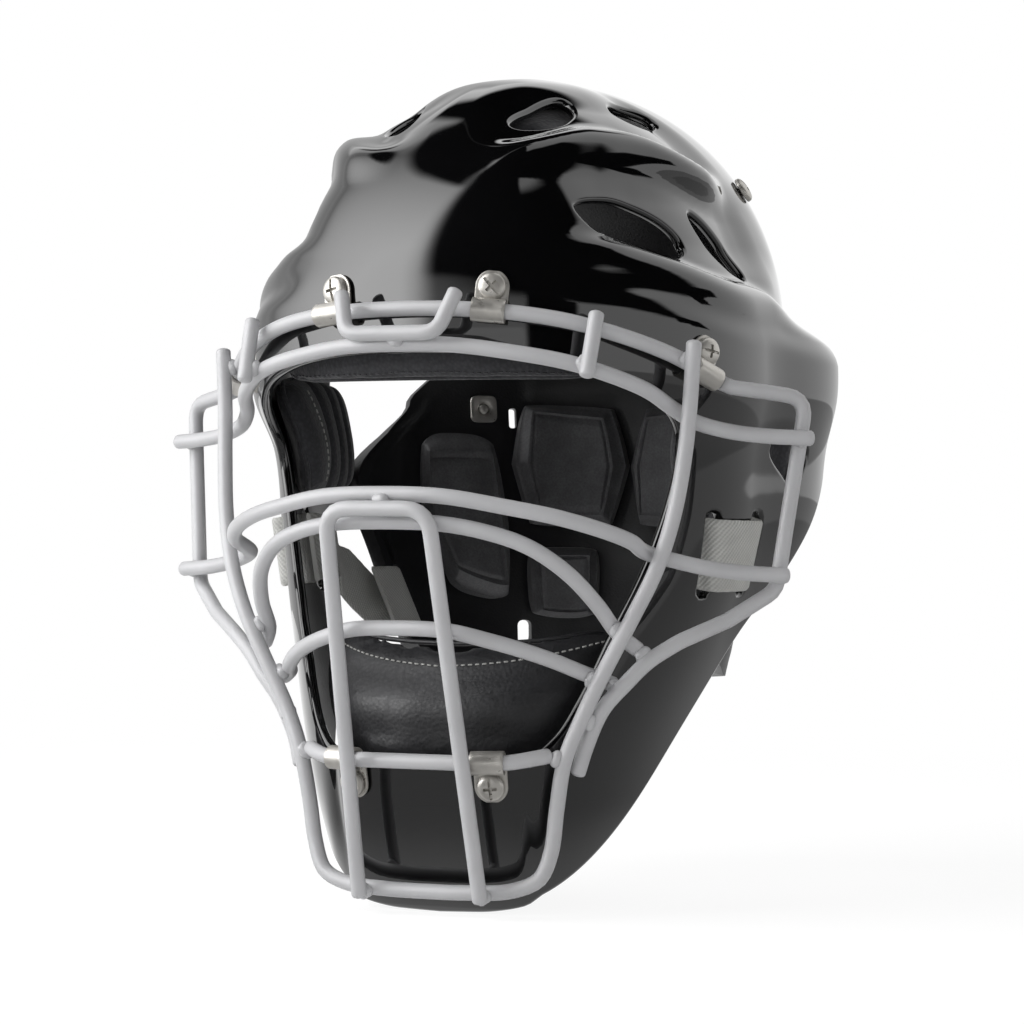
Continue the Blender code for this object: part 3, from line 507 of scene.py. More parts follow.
def lacquered_abs(colour):
    """ABS, injection moulded and lacquered: a deep black with mirror-like, very slightly wavy reflections."""
    made, tree, place = start_material("lacquered_abs")
    # The lacquer flows in 14 mm waves; wiping marks are 50 mm clouds with detail down to about 1 mm
    flow = noise(tree, place, 0.014, 1.0)
    wiped = noise(tree, place, 0.05, 6.0, Roughness=0.7)
    return principled(made, {
        "Base Color": toned(tree, wiped, colour, 0.8, 1.3),
        "Roughness": ranged(tree, wiped, 0.35, 0.7, 0.03, 0.085), "IOR": 1.54,
        "Normal": bumped(tree, flow, 0.06, 0.0006),
        "Coat Weight": 0.8, "Coat Roughness": 0.02, "Coat IOR": 1.5})


def moulded_abs(name, colour, roughness):
    """ABS as it leaves an etched mould: satin black with a fine pebble grain."""
    made, tree, place = start_material(name)
    # Etched grain is about 0.3 mm, drawn 0.9 mm so that it shows
    grain = cells(tree, place, 0.0009)
    cloud = noise(tree, place, 0.03, 4.0)
    return principled(made, {
        "Base Color": toned(tree, cloud, colour, 0.75, 1.35),
        "Roughness": ranged(tree, cloud, 0.0, 1.0, roughness - 0.06, roughness + 0.08), "IOR": 1.53,
        "Normal": bumped(tree, grain, 0.25, 0.0002)})


def powder_coat(colour):
    """Polyester powder baked on steel wire: even light grey, satin, with a fine orange peel."""
    made, tree, place = start_material("powder_coated_steel")
    # Orange peel of baked powder is about 1 mm, and the coat thins and greys over 20 mm stretches
    peel = noise(tree, place, 0.0011, 2.0)
    stretch = noise(tree, place, 0.02, 5.0)
    return principled(made, {
        "Base Color": toned(tree, stretch, colour, 0.88, 1.08),
        "Roughness": ranged(tree, stretch, 0.0, 1.0, 0.3, 0.46), "IOR": 1.5,
        "Normal": bumped(tree, peel, 0.22, 0.0002)})


def plated_steel(colour):
    """Nickel plated steel, stamped or turned: bright and a little cloudy, with tool marks and hairlines."""
    made, tree, place = start_material("nickel_plated_steel")
    # Hairlines are hundredths of a millimetre apart, drawn 0.4 mm; tool marks are 3 mm patches
    lines = noise(tree, place, 0.0004, 3.0)
    marks = noise(tree, place, 0.003, 4.0)
    return principled(made, {
        "Base Color": toned(tree, marks, colour, 0.82, 1.05), "Metallic": 0.7,
        "Roughness": ranged(tree, marks, 0.3, 0.75, 0.26, 0.48),
        "Normal": bumped(tree, lines, 0.15, 0.0001)})


def knitted_cover(colour):
    """Warp-knitted polyester over foam: matt charcoal, small loops with painted shade between them, a soft
    sheen and rubbed patches.
    """
    made, tree, place = start_material("knitted_polyester")
    # Loops of the knit are about 0.7 mm, drawn 1.3 mm so that they show
    loops = cells(tree, place, 0.0013, feature="SMOOTH_F1", Smoothness=0.4)
    rubbed = noise(tree, place, 0.012, 5.0)
    # Loop tops lighter and the gaps between loops darker, following the loops' relief: painted shade between
    # the loops, plus random rubbed patches
    light = figured(tree, "ADD", ranged(tree, loops, 0.1, 0.7, 0.55, 0.0), rubbed)
    return principled(made, {
        "Base Color": toned(tree, light, colour, 0.5, 1.3), "Roughness": 0.85, "IOR": 1.5,
        "Normal": bumped(tree, loops, 0.5, 0.0004, invert=True),
        "Sheen Weight": 0.25, "Sheen Roughness": 0.45})


def grained_vinyl(colour):
    """Embossed vinyl over foam: black with a leather grain, satin on top and duller in the creases."""
    made, tree, place = start_material("grained_vinyl")
    # Embossed pebbles are about 1 mm, drawn 1.5 mm so that they show
    pebble = cells(tree, place, 0.0015, feature="SMOOTH_F1", Smoothness=0.3)
    wear = noise(tree, place, 0.018, 5.0)
    return principled(made, {
        "Base Color": toned(tree, wear, colour, 0.65, 1.5),
        "Roughness": ranged(tree, pebble, 0.0, 0.8, 0.3, 0.5), "IOR": 1.52,
        "Normal": bumped(tree, pebble, 0.22, 0.0004, invert=True)})


def bonded_facing(colour):
    """Brushed nylon bonded to pressed foam: charcoal with a short nap, satin where it catches the light."""
    made, tree, place = start_material("bonded_nylon")
    # The nap is about 0.4 mm, drawn 0.8 mm so that it shows; pressing marks are 9 mm clouds
    nap = noise(tree, place, 0.0008, 3.0)
    pressed = noise(tree, place, 0.009, 4.0)
    light = ranged(tree, figured(tree, "MULTIPLY", nap, pressed), 0.1, 0.45, 0.0, 1.0)
    return principled(made, {
        "Base Color": toned(tree, light, colour, 0.7, 1.35),
        "Roughness": ranged(tree, pressed, 0.0, 1.0, 0.42, 0.6), "IOR": 1.5,
        "Normal": bumped(tree, nap, 0.3, 0.0003), "Sheen Weight": 0.2, "Sheen Roughness": 0.4})


def sewing_thread(colour):
    """Bonded polyester thread: pale grey, twisted, with a slight sheen."""
    made, tree, place = start_material("bonded_thread")
    # The twist of the thread is about 0.5 mm
    twist = noise(tree, place, 0.0005, 2.0)
    return principled(made, {
        "Base Color": toned(tree, twist, colour, 0.6, 1.25), "Roughness": 0.7,
        "Normal": bumped(tree, twist, 0.4, 0.0002), "Sheen Weight": 0.2})


def woven_elastic(colour):
    """Elastic woven in a diagonal twill: pale grey ribs, with painted shade darkening the lines between them.
    """
    made, tree, place = start_material("woven_elastic")
    along = add_node(tree, "ShaderNodeUVMap", {"uv_map": "weave"}).outputs[0]
    # Ribs of the twill are about 0.8 mm apart, drawn 1.3 mm so that they show, and picks 1 mm along a rib
    ribs = lines_across(tree, along, 52, 0.0013, {"Distortion": 0.6, "Detail": 1.0, "Detail Scale": 2.0})
    picks = lines_across(tree, along, -30, 0.001, {"Distortion": 0.4})
    weave = figured(tree, "ADD", ribs, figured(tree, "MULTIPLY", picks, 0.35))
    worn = noise(tree, place, 0.01, 4.0)
    # Rib tops lighter and the grooves between ribs darker, from the weave's relief: painted shade in the
    # grooves, times random wear
    rib_shade_and_wear = figured(tree, "MULTIPLY", ranged(tree, weave, 0.1, 1.1, 0.0, 1.0), worn)
    return principled(made, {
        "Base Color": toned(tree, rib_shade_and_wear, colour, 0.72, 1.25), "Roughness": 0.8,
        "Normal": bumped(tree, weave, 0.5, 0.0003), "Sheen Weight": 0.15})


# Mesh helpers

def link(item):
    bpy.context.scene.collection.objects.link(item)
    return item


def add_piece(name, mesh, body, materials, nodes=None):
    """Put a finished mesh in the scene as a piece that rides on a body and stands for CAD nodes."""
    item = link(bpy.data.objects.new(name, mesh))
    for made in materials:
        mesh.materials.append(made)
    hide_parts(*(nodes or [name]))
    if body:
        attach(item, body)
    return item


def to_mesh(bm, name, scale=MM, smooth_angle=40.0):
    """Finish a bmesh as a mesh in metres, smooth with crisp edges over the angle."""
    bmesh.ops.scale(bm, vec=(scale, scale, scale), verts=bm.verts)
    mesh = bpy.data.meshes.new(name)
    bm.to_mesh(mesh)
    bm.free()
    return smoothed(mesh, smooth_angle)


def smoothed(mesh, angle):
    """The mesh shaded smooth, with crisp edges over the angle."""
    mesh.shade_smooth()
    mesh.set_sharp_from_angle(angle=math.radians(angle))
    return mesh


def from_mesh(mesh):
    """A bmesh in millimetres of a mesh in metres."""
    bm = bmesh.new()
    bm.from_mesh(mesh)
    bmesh.ops.scale(bm, vec=(1 / MM, 1 / MM, 1 / MM), verts=bm.verts)
    return bm


def soft_edges(width, segments):
    """Modifier that rounds the sharp edges of a mesh; the width is in millimetres."""
    return ("BEVEL", {
        "width": width * MM, "segments": segments, "limit_method": "ANGLE", "angle_limit": math.radians(50)})


def shaped(mesh, modifiers):
    """The mesh after a list of modifiers, each as (kind, settings)."""
    holder = link(bpy.data.objects.new("form", mesh))
    for kind, settings in modifiers:
        made = holder.modifiers.new(kind, kind)
        for key, value in settings.items():
            setattr(made, key, value)
    bpy.context.view_layer.update()
    result = bpy.data.meshes.new_from_object(holder.evaluated_get(bpy.context.evaluated_depsgraph_get()))
    bpy.data.objects.remove(holder, do_unlink=True)
    return result


def cutting_tool(name, mesh, matrix=None):
    item = link(bpy.data.objects.new(name, mesh))
    item.hide_render = True
    if matrix is not None:
        item.matrix_world = matrix
    return item


def pared(mesh, tools):
    """The mesh with cutting tools taken out of it; the tools are then removed."""
    bpy.context.view_layer.update()
    cuts = [("BOOLEAN", {"operation": "DIFFERENCE", "solver": "EXACT", "object": tool}) for tool in tools]
    result = shaped(mesh, cuts)
    for tool in tools:
        bpy.data.objects.remove(tool, do_unlink=True)
    return result


def standing(origin, axis, around=Vector((0, 0, 1))):
    """Matrix that stands a piece's Z along axis, with its X as near as can be to around."""
    z = Vector(axis).normalized()
    y = z.cross(around).normalized()
    return Matrix.Translation(Vector(origin)) @ Matrix((y.cross(z), y, z)).transposed().to_4x4()


def spun(bm, profile, steps, matrix=Matrix()):
    """Add a turned form: (radius, height) points swept round the matrix's Z."""
    verts = [bm.verts.new((r, 0.0, z)) for r, z in profile]
    edges = [bm.edges.new(pair) for pair in zip(verts, verts[1:])]
    bmesh.ops.spin(
        bm, geom=verts + edges, cent=(0, 0, 0), axis=(0, 0, 1), angle=2 * math.pi, steps=steps,
        use_merge=True)
    faces = {face for vert in bm.verts for face in vert.link_faces}
    body = list({vert for face in faces for vert in face.verts} | set(verts))
    bmesh.ops.remove_doubles(bm, verts=body, dist=1e-4)
    bmesh.ops.transform(bm, matrix=matrix, verts=[v for v in body if v.is_valid])


def tube(bm, path, radius, sides, closed=False):
    """Add a round rod along a path, with domed ends where the path is open."""
    path = [Vector(p) for p in path]
    stops = [(p, radius) for p in path]
    if not closed:
        first, last = (path[0] - path[1]).normalized(), (path[-1] - path[-2]).normalized()
        domes = [(radius * 0.5 * math.sin(t), radius * math.cos(t)) for t in map(math.radians, DOME_TURNS)]
        stops = [(path[0] + first * out, size) for out, size in reversed(domes)] + stops
        stops += [(path[-1] + last * out, size) for out, size in domes]
    count = len(stops)
    rings = []
    side = None
    for i, (place, size) in enumerate(stops):
        if closed:
            run = stops[(i + 1) % count][0] - stops[i - 1][0]
        else:
            run = stops[min(i + 1, count - 1)][0] - stops[max(i - 1, 0)][0]
        run.normalize()
        if side is None:
            side = run.orthogonal().normalized()
        side = (side - run * side.dot(run)).normalized()
        up = run.cross(side)
        turns = [2 * math.pi * k / sides for k in range(sides)]
        rings.append([bm.verts.new(place + (side * math.cos(t) + up * math.sin(t)) * size) for t in turns])
    pairs = list(zip(rings, rings[1:]))
    if closed:
        twist = min(range(sides), key=lambda k: (rings[0][k].co - rings[-1][0].co).length)
        pairs.append((rings[-1], rings[0][twist:] + rings[0][:twist]))
    for low, high in pairs:
        for k in range(sides):
            bm.faces.new((low[k - 1], low[k], high[k], high[k - 1]))
    if not closed:
        bm.faces.new(reversed(rings[0]))
        bm.faces.new(rings[-1])


def ridge_line(angle):
    """Height of the crest that runs round the dome above the vents."""
    return 105.5 + 6.5 * step(angle, 16, 42) - 12.0 * step(angle, 50, 100)


def crease_line(angle):
    """Height of the blade that runs along the ledge below the vents."""
    return 71.5 - 12.0 * step(angle, 36, 80) - 3.5 * step(angle, 80, 110)


def relief(theta, z):
    """How far the moulded crest, hollows, blade and groove stand off the plain form of the shell."""
    angle = abs(math.degrees(theta))
    crest = z - ridge_line(angle)
    blade = z - crease_line(angle)
    upper = step(crest, 2.0, 11.0) * (1.0 - step(z, 128, 138))
    lower = step(blade, 2.0, 11.0) * (1.0 - step(crest, -12.0, -1.0))
    rise = CREST_RISE * band(angle, 9, 24, 84, 106) * band(crest, -9.0, 0.0, 0.5, 9.0)
    rise -= UPPER_HOLLOW * band(angle, 4, 22, 92, 112) * upper
    rise -= LOWER_HOLLOW * band(angle, 20, 42, 92, 112) * lower
    rise += BLADE_RISE * band(angle, 26, 44, 92, 112) * band(blade, -8.0, 0.0, 0.5, 9.0)
    rise -= BLADE_GROOVE * band(angle, 24, 40, 92, 112) * band(blade, -18.0, -9.0, -9.0, -1.0)
    return rise


def dressed_point(theta, latitude):
    """Point of the shell's finished outer face."""
    plain = ring_point(theta, latitude)
    lift = relief(theta, plain.z)
    if lift == 0.0:
        return plain
    return plain + crossed(ring_point, theta, latitude) * lift


def face_edge():
    """Left half of the face opening, from the brow to the chin lip."""
    points = smooth_path([(x, 0.0, z) for x, z in FACE_HALF], 2.6)
    path = [(bearing_at(p.z, 0, p.x), p.z) for p in points]
    return [(0.0, path[0][1])] + path[1:-1] + [(0.0, path[-1][1])]


def rear_edge():
    """Left half of the shell's rear and lower edge, from the crown to the chin."""
    def wider(z):
        return shell_radius(math.pi, z) > REAR_EDGE[0][0]
    crown = halved(64.0, SHELL_TOP - 1.0, wider)
    outline = rounded_path([(y, z, 0.0) for y, z in REAR_EDGE], EDGE_ROUNDING, 10)
    dense = even_path(outline, 0.8)
    path = [Vector((0.0, REAR_EDGE[0][0], crown))]
    for k in range(1, 60):
        z = crown - (crown - 75.0) * (k / 60) ** 2
        path.append(ring_point(bearing_at(z, 1, REAR_EDGE[0][0]), latitude_at(z)))
    for p in dense:
        if p.y > 75.0:
            continue
        if p.x < -shell_radius(0.0, p.y):
            path.append(Vector((0.0, -shell_radius(0.0, p.y), p.y)))
            break
        path.append(ring_point(bearing_at(p.y, 1, p.x), latitude_at(p.y)))
    return even_path(path, 2.6)


def oval(theta_a, z_a, theta_b, z_b, half_width, count=64, taper=1.0):
    """Outline of a long vent from one end to the other; taper over 1 draws its ends to points."""
    a, b = math.radians(theta_a), math.radians(theta_b)
    length = (shell_point(b, z_b) - shell_point(a, z_a)).length
    lean = math.atan2(z_b - z_a, length)
    outline = []
    for k in range(count):
        turn = 2 * math.pi * k / count
        along = 0.5 - 0.5 * math.cos(turn)
        across = half_width * math.copysign(abs(math.sin(turn)) ** taper, math.sin(turn))
        theta, z = a + (b - a) * along, z_a + (z_b - z_a) * along
        radius = max(20.0, shell_radius(theta, z))
        outline.append((theta - across * math.sin(lean) / radius, z + across * math.cos(lean)))
    return outline


def slot_edge(y_middle):
    """Strap slot: a tall rounded opening that follows the cheek."""
    half_y, half_z = SLOT_WIDTH / 2, SLOT_HEIGHT / 2
    corners = [(-half_y, half_z), (half_y, half_z), (half_y, -half_z), (-half_y, -half_z)]
    points = rounded_path([(y_middle + y, STRAP_Z + z, 0.0) for y, z in corners], 2.0, 5, closed=True)
    return [(bearing_at(p.y, 1, p.x), p.y) for p in even_path(points, 1.5, closed=True)]


def ear_edge():
    """Ear opening: a triangle with round corners."""
    corners = [(-7.0, 8.5), (25.0, 7.5), (15.0, -8.5)]
    points = rounded_path([(y, z, 0.0) for y, z in corners], 5.0, 8, closed=True)
    return [(bearing_at(p.y, 1, p.x), p.y) for p in even_path(points, 1.6, closed=True)]


def on_surface(point):
    """Bearing and latitude of the shell's point nearest to a point close to it."""
    theta = math.atan2(point.x, -point.y)
    if point.z < SHELL_SPRING + 60.0:
        return theta, latitude_at(point.z)
    wanted = math.hypot(point.x, point.y)

    def wider(latitude):
        return shell_radius(theta, height(latitude)) > wanted
    return theta, halved(latitude_at(SHELL_SPRING + 30.0), math.radians(89.9), wider)


def off_edge(places, normals, closed, hint):
    """Direction off the shell at each point of an edge, on the side that hint(point) looks to."""
    last = len(places) - 1
    result = []
    for i, place in enumerate(places):
        run = places[0 if i == last else i + 1] - places[i - 1]
        if not closed and i in (0, last):
            run = Vector((1.0, 0.0, 0.0))
        off = run.cross(normals[i]).normalized()
        result.append(off if off.dot(hint(place)) > 0 else -off)
    return result


def drawn_in(outline, closed, hint, lip):
    """An edge moved back onto the shell by its lip's radius, as (bearing, latitude)."""
    places = [dressed_point(*spot) for spot in outline]
    normals = [crossed(dressed_point, *spot) for spot in outline]
    offs = off_edge(places, normals, closed, hint)
    moved = [on_surface(place - off * lip) for place, off in zip(places, offs)]
    if not closed:
        for end in (0, -1):
            moved[end] = (math.pi if outline[end][0] > 1.5 else 0.0, moved[end][1])
    return moved


class ShellSheet:
    """Left half of the shell as points with normals, triangulated on a disc that keeps its angles."""

    def __init__(self, wall, spacing):
        self.wall = wall
        self.spacing = spacing
        self.places = []
        self.normals = []
        self.faces = []
        self.inner_faces = []
        angles = numpy.radians(numpy.arange(89.5, -82.0, -0.5))
        meridian = [ring_point(math.radians(60), a) for a in angles]
        radii = numpy.array([math.hypot(p.x, p.y) for p in meridian])
        runs = numpy.array([0.0] + [(b - a).length for a, b in zip(meridian, meridian[1:])])
        self.angles = angles[::-1]
        self.scale = numpy.exp(numpy.cumsum(runs / radii))[::-1] * radii[0]
        self.runs = numpy.cumsum(runs)

    def on_disc(self, theta, latitude):
        r = float(numpy.interp(latitude, self.angles, self.scale))
        if latitude > self.angles[-1]:
            r *= (math.pi / 2 - latitude) / (math.pi / 2 - self.angles[-1])
        return (r * math.sin(theta), -r * math.cos(theta))

    def build(self, openings, hints):
        """Draw the half shell: openings[0] and [1] are the face and rear edges, the others are holes."""
        face, rear = openings[:2]
        line_top = self.middle_line(rear[0][1], face[0][1], over_crown=True)
        line_chin = self.middle_line(face[-1][1], rear[-1][1], over_crown=False)
        border = line_top[:-1] + face[:-1] + line_chin[:-1] + list(reversed(rear))[:-1]
        loops = [border] + openings[2:]
        where, edges, starts = [], [], []
        for loop in loops:
            first = len(where)
            starts.append(first)
            where += loop
            edges += [(first + k, first + (k + 1) % len(loop)) for k in range(len(loop))]
        outlines = [numpy.array([self.on_disc(*spot) for spot in loop]) for loop in loops]
        where += self.field(outlines)
        self.add_walls(where)
        self.add_faces(where, edges, outlines)
        outer = len(where)
        at = len(line_top) - 1
        self.lip([at + k for k in range(len(face))], outer, False, hints[0])
        rear_ids = [(len(border) - k) % len(border) for k in range(len(rear))]
        self.lip(rear_ids, outer, False, hints[1])
        for first, loop, hint in zip(starts[1:], loops[1:], hints[2:]):
            self.lip([first + k for k in range(len(loop))], outer, True, hint)

    def field(self, outlines):
        """Spots of the grid that lie on the shell and not too near its edges."""
        grid = self.grid()
        spots = numpy.array([self.on_disc(*spot) for spot in grid])
        rim = numpy.concatenate(outlines)
        size = numpy.interp([latitude for _, latitude in grid], self.angles, self.scale)
        kept = []
        for k in numpy.nonzero(self.inside(spots, outlines))[0]:
            theta, latitude = grid[k]
            reach = max(25.0, shell_radius(theta, height(latitude)))
            nearest = numpy.min(numpy.hypot(rim[:, 0] - spots[k, 0], rim[:, 1] - spots[k, 1]))
            if nearest * reach / size[k] >= EDGE_CLEARANCE * self.spacing:
                kept.append(grid[k])
        return kept

    def add_walls(self, where):
        """Points and normals of the outer face, and after them those of the inner face."""
        for theta, latitude in where:
            place = dressed_point(theta, latitude)
            normal = crossed(dressed_point, theta, latitude)
            if abs(math.sin(theta)) < 1e-6:
                place.x = 0.0
                normal.x = 0.0
                normal.normalize()
            self.places.append(place)
            self.normals.append(normal)
        self.places += [p - n * self.wall for p, n in zip(self.places, self.normals)]
        self.normals += [-n for n in self.normals]

    def add_faces(self, where, edges, outlines):
        """Triangles of the outer face between the given spots, and the same ones of the inner face."""
        points = [Vector(self.on_disc(*spot)) for spot in where]
        spots, _, triangles, origin, *_ = delaunay_2d_cdt(points, edges, [], 0, 1e-7)
        middles = numpy.array([sum((spots[i] for i in t), Vector((0, 0))) / 3 for t in triangles])
        outer = len(where)
        for triangle, inside in zip(triangles, self.inside(middles, outlines)):
            a, b, c = (origin[i][0] for i in triangle)
            sliver = max(abs(self.places[i].x) for i in (a, b, c)) < ON_MIDDLE
            if sliver or not inside:
                continue
            normal = (self.places[b] - self.places[a]).cross(self.places[c] - self.places[a])
            if normal.dot(self.normals[a]) < 0:
                b, c = c, b
            self.faces.append((a, b, c))
            self.inner_faces.append((a + outer, c + outer, b + outer))

    def middle_line(self, latitude_a, latitude_b, over_crown):
        """Points of the shell's middle line between two latitudes, ends included."""
        if over_crown:
            back = numpy.linspace(latitude_a, math.radians(89.6), 40)
            front = numpy.linspace(math.radians(89.6), latitude_b, 90)
            return [(math.pi, a) for a in back[:-1]] + [(0.0, a) for a in front]
        return [(0.0, a) for a in numpy.linspace(latitude_a, latitude_b, 24)]

    def grid(self):
        spots = []
        total = self.runs[-1]
        for distance in numpy.arange(self.spacing, total, self.spacing):
            latitude = float(numpy.interp(distance, self.runs, self.angles[::-1]))
            around = max(20.0, shell_radius(math.radians(60), height(latitude)))
            count = max(6, round(math.pi * around / self.spacing))
            spots += [(math.pi * (k + 0.5) / count, latitude) for k in range(count)]
        return spots

    def inside(self, spots, outlines):
        """Which spots lie within the first outline and outside the others."""
        result = None
        for outline in outlines:
            x0, y0 = outline[:, 0], outline[:, 1]
            x1, y1 = numpy.roll(x0, -1), numpy.roll(y0, -1)
            hits = numpy.zeros(len(spots), dtype=bool)
            for a, b, c, d in zip(x0, y0, x1, y1):
                if b == d:
                    continue
                crosses = (b > spots[:, 1]) != (d > spots[:, 1])
                hits ^= crosses & (spots[:, 0] < (c - a) * (spots[:, 1] - b) / (d - b) + a)
            result = hits if result is None else result & ~hits
        return result

    def lip(self, ids, outer, closed, hint):
        """Round the wall from its outer to its inner face along an edge."""
        count = len(ids)
        radius = self.wall / 2
        normals = [self.normals[k] for k in ids]
        offs = off_edge([self.places[k] for k in ids], normals, closed, hint)
        centres = [self.places[k] - self.normals[k] * radius for k in ids]
        rings = [ids]
        for turn in (25, 50, 75, 105, 130, 155):
            t = math.radians(turn)
            first = len(self.places)
            directions = [normal * math.cos(t) + off * math.sin(t) for normal, off in zip(normals, offs)]
            self.places += [centre + direction * radius for centre, direction in zip(centres, directions)]
            self.normals += directions
            rings.append(list(range(first, first + count)))
        rings.append([k + outer for k in ids])
        for low, high in zip(rings, rings[1:]):
            for i in range(count if closed else count - 1):
                quad = [low[i], low[(i + 1) % count], high[(i + 1) % count], high[i]]
                across = (self.places[quad[1]] - self.places[quad[0]]).cross(
                    self.places[quad[2]] - self.places[quad[0]])
                if across.dot(self.normals[quad[0]] + self.normals[quad[2]]) < 0:
                    quad.reverse()
                self.faces.append(tuple(quad))

    def mesh(self, name):
        """Both halves as one mesh with the worked-out normals; the second material is the inside."""
        twin = {}
        places, normals = list(self.places), list(self.normals)
        for i, place in enumerate(self.places):
            if abs(place.x) < ON_MIDDLE:
                twin[i] = i
                continue
            twin[i] = len(places)
            places.append(flipped(place, -1))
            normals.append(flipped(self.normals[i], -1))
        halves = [(face, 0) for face in self.faces] + [(face, 1) for face in self.inner_faces]
        faces = [face for face, _ in halves] + [tuple(twin[i] for i in reversed(face)) for face, _ in halves]
        looks = [look for _, look in halves] * 2
        mesh = bpy.data.meshes.new(name)
        mesh.from_pydata([p * MM for p in places], [], faces)
        mesh.polygons.foreach_set("material_index", looks)
        mesh.shade_smooth()
        mesh.normals_split_custom_set_from_vertices([tuple(n) for n in normals])
        return mesh


def into_face(point):
    """Direction off the shell at a point of the face opening's edge."""
    return Vector((-point.x, 0.0, -25.0 - point.z))


def behind(point):
    """Direction off the shell at a point of its rear and lower edge."""
    return Vector((0.0, 1.0, -0.9 if point.z < 40 else 0.0))


def toward(middle):
    """Direction off the shell round a hole: to its middle."""
    def direction(point):
        return middle - point
    return direction


def shell_mesh(wall, spacing):
    """The front shell: its two edges and its holes, each with a lip that rounds the wall, and the sheet."""
    lip = wall / 2
    face = [(theta, latitude_at(z)) for theta, z in face_edge()]
    rear = [on_surface(p) for p in rear_edge()]
    hints = [into_face, behind]
    openings = [drawn_in(face, False, into_face, lip), drawn_in(rear, False, behind, lip)]
    holes = [oval(*spec) for spec in VENTS]
    holes += [ear_edge(), slot_edge(FRONT_SLOT_Y), slot_edge(REAR_SLOT_Y)]
    for outline in holes:
        outline = [(theta, latitude_at(z)) for theta, z in outline]
        places = [ring_point(*spot) for spot in outline]
        hint = toward(sum(places, Vector()) / len(places))
        openings.append(drawn_in(outline, True, hint, lip))
        hints.append(hint)
    sheet = ShellSheet(wall, spacing)
    sheet.build(openings, hints)
    return sheet.mesh("front_shell")


class MASK_OT_shell(bpy.types.Operator):
    """Front shell with its round lips, ridges, vents, ear openings and strap slots"""

    bl_idname = "mask.shell"
    bl_label = "Front Shell"

    def execute(self, context):
        sizes, colours = context.scene.mask_sizes, context.scene.mask_colours
        mesh = shell_mesh(sizes.wall / MM, sizes.facet / MM)
        looks = [lacquered_abs(colours.shell), moulded_abs("moulded_abs_inside", colours.shell, 0.38)]
        add_piece("shell_front", mesh, "front", looks, ["front_shell"])
        return {"FINISHED"}


def top_wire_height(theta):
    """Height of the top wire where it follows the forehead: level in front and dipping to the temples."""
    turn = math.sin(theta) ** 2
    return 52.8 - 13.1 * turn - 23.5 * turn**2


def cage_paths(gap=3.0, arc=8):
    """Centre lines of the cage's wires by name; most are given as a half, from the middle to the left."""
    brow = []
    for degrees in (0, 10, 20, 30, 40, 50, 61.5):
        theta = math.radians(degrees)
        brow.append(shell_point(theta, top_wire_height(theta), WIRE_STANDOFF))
    guard = [(96.5, -50.3, 26.6), (105.0, -44.4, 25.3), (118.5, -35.5, 23.0), (111.0, -45.5, -42.5)]
    arm = [(98.0, -57.5, -52.5), (84.5, -68.5, -59.5), (75.5, -74.0, -66.0), (69.0, -77.3, -73.0)]
    tail = [(60.8, -79.4, -82.5), (55.0, -79.6, -95.0), (52.4, -80.8, -104.0)]
    top = smooth_path(brow, gap) + rounded_path(guard + arm[:1], 8.0, arc) + smooth_path(arm[1:] + tail, gap)
    brow_bar = [
        (0, -113.0, 40.5), (20, -111.6, 40.0), (40, -106.0, 37.3), (55, -98.8, 34.3), (66, -90.0, 30.5),
        (76, -77.0, 25.0), (80.6, -66.5, 19.6), (86.5, -59.5, 14.8), (97, -53.5, 11.5), (108, -48.3, 10.0),
        (122, -41.5, 9.2),
    ]
    perimeter = [
        (0, -90.0, -145.5), (16, -89.6, -145.3), (31, -88.0, -144.2), (40.5, -86.2, -140.0),
        (44.3, -85.0, -131.0), (46.5, -85.3, -116.0), (49.5, -85.8, -100.0), (55, -84.6, -86.0),
        (63.5, -84.5, -69.0), (72.5, -83.2, -52.0), (80, -79.2, -35.0), (84.6, -75.0, -17.0),
        (87.2, -71.0, 4.0), (88.2, -69.0, 20.0), (89.4, -68.2, 41.0),
    ]
    eye_bar = [
        (0, -125.3, -9.6), (22, -123.8, -10.4), (42, -117.5, -14.0), (56, -109.8, -17.2), (68, -99.0, -21.6),
        (74.4, -87.0, -25.8), (74.5, -78.8, -28.6), (76.0, -72.8, -30.2), (80.2, -67.8, -31.8),
        (90, -62.0, -34.5), (102, -55.8, -36.4), (115.8, -49.0, -37.4),
    ]
    arch = [
        (0, -122.2, -18.8), (20, -121.0, -19.5), (35, -117.0, -22.4), (47, -110.8, -27.2),
        (57, -101.5, -36.0), (63.0, -89.6, -47.0), (66.0, -78.0, -57.0), (70.6, -72.0, -62.3),
    ]
    mid_bar = [
        (0, -112.4, -54.6), (18, -111.2, -55.4), (30, -106.8, -58.4), (39, -101.4, -61.4), (48, -93.4, -65.4),
        (55, -84.0, -69.8), (58, -77.4, -72.0), (62.3, -73.4, -74.2),
    ]
    chin_bar = [
        (0, -101.3, -100.2), (10, -101.1, -100.2), (20.5, -99.9, -100.3), (33, -97.0, -100.0),
        (40, -92.6, -98.9), (44.4, -88.2, -98.0),
    ]
    nose = [(22.6, -95.4, -147.0), (18.7, -129.6, -14.4), (-18.7, -129.6, -14.4), (-22.6, -95.4, -147.0)]
    forehead_u = [(21.0, -112.2, 57.5), (16.8, -118.0, 44.0), (-16.8, -118.0, 44.0), (-21.0, -112.2, 57.5)]
    strut = [(64.3, -94.0, 50.0), (63.6, -101.0, 30.0)]
    halves = {
        "brow_bar": brow_bar, "perimeter_wire": perimeter, "eye_bar": eye_bar, "arch_wire": arch,
        "mid_bar": mid_bar, "chin_bar": chin_bar,
    }
    return {
        "top_wire": mirrored(top),
        **{name: smooth_path(mirrored(half), gap) for name, half in halves.items()},
        "nose_wire": rounded_path(nose, 9.0, arc),
        "forehead_u": rounded_path(forehead_u, 6.0, arc),
        **{f"strut_{side}": [flipped(Vector(p), sign) for p in strut] for side, sign in SIDES},
    }


